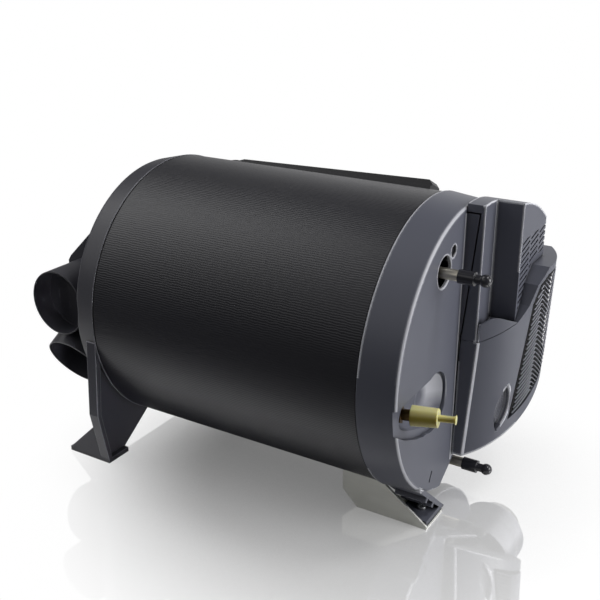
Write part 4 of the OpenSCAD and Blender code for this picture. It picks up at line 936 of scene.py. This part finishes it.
def floor_material(colour):
    """Pale polished sheet: it mirrors the heater, keeps its shadow and fades to white round it."""
    material, tree, shader = new_material("polished_white_sheet", colour, 0.6,
                                          Specular_IOR_Level=0.0)
    direct = seen_directly(tree)
    place = add(tree, "TexCoord").outputs["Object"]
    # The front of the sheet lies in the dark of the studio, as the drum mirrors it
    across = add(tree, "SeparateXYZ", [(place, "Vector")]).outputs["Y"]
    dark_front = add(tree, "MapRange", [(across, 0)], interpolation_type="SMOOTHSTEP",
                     From=DARK_FRONT, To=(DARK_LEVEL, 1.0))
    level = add(tree, "Math", [(dark_front, 0), (direct, 1)], operation="MAXIMUM")
    # Close under the drum, little light gets in
    open_sky = add(tree, "AmbientOcclusion", samples=8, Distance=SHADE_REACH).outputs["AO"]
    sky = add(tree, "MapRange", [(open_sky, 0)], From=SHADE_SKY, To=SHADE_TONE)
    share = add(tree, "Math", [(level, 0), (sky, 1)], operation="MULTIPLY")
    colour_between(tree, shader, share, BLACK, colour)
    # Light that the shadow lets through, so that the sheet is pale even under the drum
    shaded = add(tree, "Math", [(direct, 0), (sky, 1)], operation="MULTIPLY")
    glow_level = add(tree, "Math", [(shaded, 0)], operation="MULTIPLY", in_1=GLOW_SHARE)
    glow = add(tree, "Emission", [(glow_level, "Strength")])
    lit = add(tree, "AddShader", [(shader, 0), (glow, 1)])
    # The polish, which mirrors the heater
    gloss = add(tree, "Math", [(level, 0)], operation="MULTIPLY", in_1=MIRROR_SHARE)
    mirror = add(tree, "BsdfGlossy", Roughness=0.0)
    polish_and_painted_highlight = add(tree, "MixShader", [(gloss, 0), (lit, 1), (mirror, 2)])
    # White outside an oval round the heater
    shift = add(tree, "Mapping", [(place, "Vector")], Location=OVAL_SHIFT, Scale=OVAL_SCALE)
    away = add(tree, "VectorMath", [(shift, 0)], operation="LENGTH").outputs["Value"]
    fade = add(tree, "MapRange", [(away, 0)], interpolation_type="SMOOTHSTEP", From=OVAL_FADE)
    shown = add(tree, "Math", [(fade, 0), (direct, 1)], operation="MULTIPLY")
    white = add(tree, "Emission", Strength=1.0)
    mix = add(tree, "MixShader", [(shown, 0), (polish_and_painted_highlight, 1), (white, 2)])
    tree.links.new(mix.outputs[0], tree.nodes["Material Output"].inputs["Surface"])
    material.cycles.emission_sampling = "NONE"
    return material


def light_world(scene):
    """Lights the world: white for direct sight and for reflections from behind, or else dim."""
    world = bpy.data.worlds.new("studio")
    world.use_nodes = True
    scene.world = world
    tree = world.node_tree
    sky = tree.nodes["Background"]
    sky.inputs["Color"].default_value = (1, 1, 1, 1)
    way = add(tree, "TexCoord").outputs["Generated"]
    across = add(tree, "SeparateXYZ", [(way, 0)]).outputs["Y"]
    behind = add(tree, "MapRange", [(across, 0)], From=BACKDROP)
    glossy = add(tree, "LightPath").outputs["Is Glossy Ray"]
    mirrored = add(tree, "Math", [(behind, 0), (glossy, 1)], operation="MULTIPLY")
    white = add(tree, "Math", [(seen_directly(tree), 0), (mirrored, 1)], operation="MAXIMUM")
    level = add(tree, "MapRange", [(white, 0)], To=(STUDIO_LEVEL, 1.0))
    tree.links.new(level.outputs[0], sky.inputs["Strength"])


class HEATER_OT_stage(bpy.types.Operator):
    """Set up the floor, lamps, world and camera"""

    bl_idname = "heater.stage"
    bl_label = "Stage"

    def execute(self, context):
        scene = context.scene
        scene.view_settings.view_transform = "Standard"
        mesh = bpy.data.meshes.new("floor")
        far = FLOOR_REACH
        corners = [(-far, -far, 0), (far, -far, 0), (far, far, 0), (-far, far, 0)]
        mesh.from_pydata(corners, [], [(0, 1, 2, 3)])
        floor = put_in(scene, "floor", mesh)
        mesh.materials.append(floor_material(scene.heater_colours.floor))
        light_world(scene)
        for lamp in LAMPS:
            softbox(scene, *lamp)
        place_camera(scene)
        return {"FINISHED"}


class HEATER_PT_panel(bpy.types.Panel):
    """Lists the heater's steps and values"""

    bl_label = "Heater"
    bl_idname = "HEATER_PT_panel"
    bl_space_type = "VIEW_3D"
    bl_region_type = "UI"
    bl_category = "Heater"

    def draw(self, context):
        for step in STEPS:
            self.layout.operator(step.bl_idname)
        for group in (context.scene.heater_colours, context.scene.heater_sizes):
            for name in group.__annotations__:
                self.layout.prop(group, name)


STEPS = [
    HEATER_OT_jacket,
    HEATER_OT_outlet_end,
    HEATER_OT_connection_end,
    HEATER_OT_intake_grille,
    HEATER_OT_cover_details,
    HEATER_OT_screws,
    HEATER_OT_fittings,
    HEATER_OT_inner_parts,
    HEATER_OT_stage,
]
CLASSES = [HeaterColours, HeaterSizes, *STEPS, HEATER_PT_panel]


def register():
    """Adds the heater's classes to Blender."""
    for made in CLASSES:
        bpy.utils.register_class(made)
    bpy.types.Scene.heater_colours = bpy.props.PointerProperty(type=HeaterColours)
    bpy.types.Scene.heater_sizes = bpy.props.PointerProperty(type=HeaterSizes)


def unregister():
    """Takes the heater's classes out of Blender."""
    del bpy.types.Scene.heater_sizes
    del bpy.types.Scene.heater_colours
    for made in reversed(CLASSES):
        bpy.utils.unregister_class(made)


def main():
    """Builds the scene."""
    register()
    bpy.ops.heater.jacket()
    bpy.ops.heater.outlet_end()
    bpy.ops.heater.connection_end()
    bpy.ops.heater.intake_grille()
    bpy.ops.heater.cover_details()
    bpy.ops.heater.screws()
    bpy.ops.heater.fittings()
    bpy.ops.heater.inner_parts()
    bpy.ops.heater.stage()


if __name__ == "__main__":
    main()
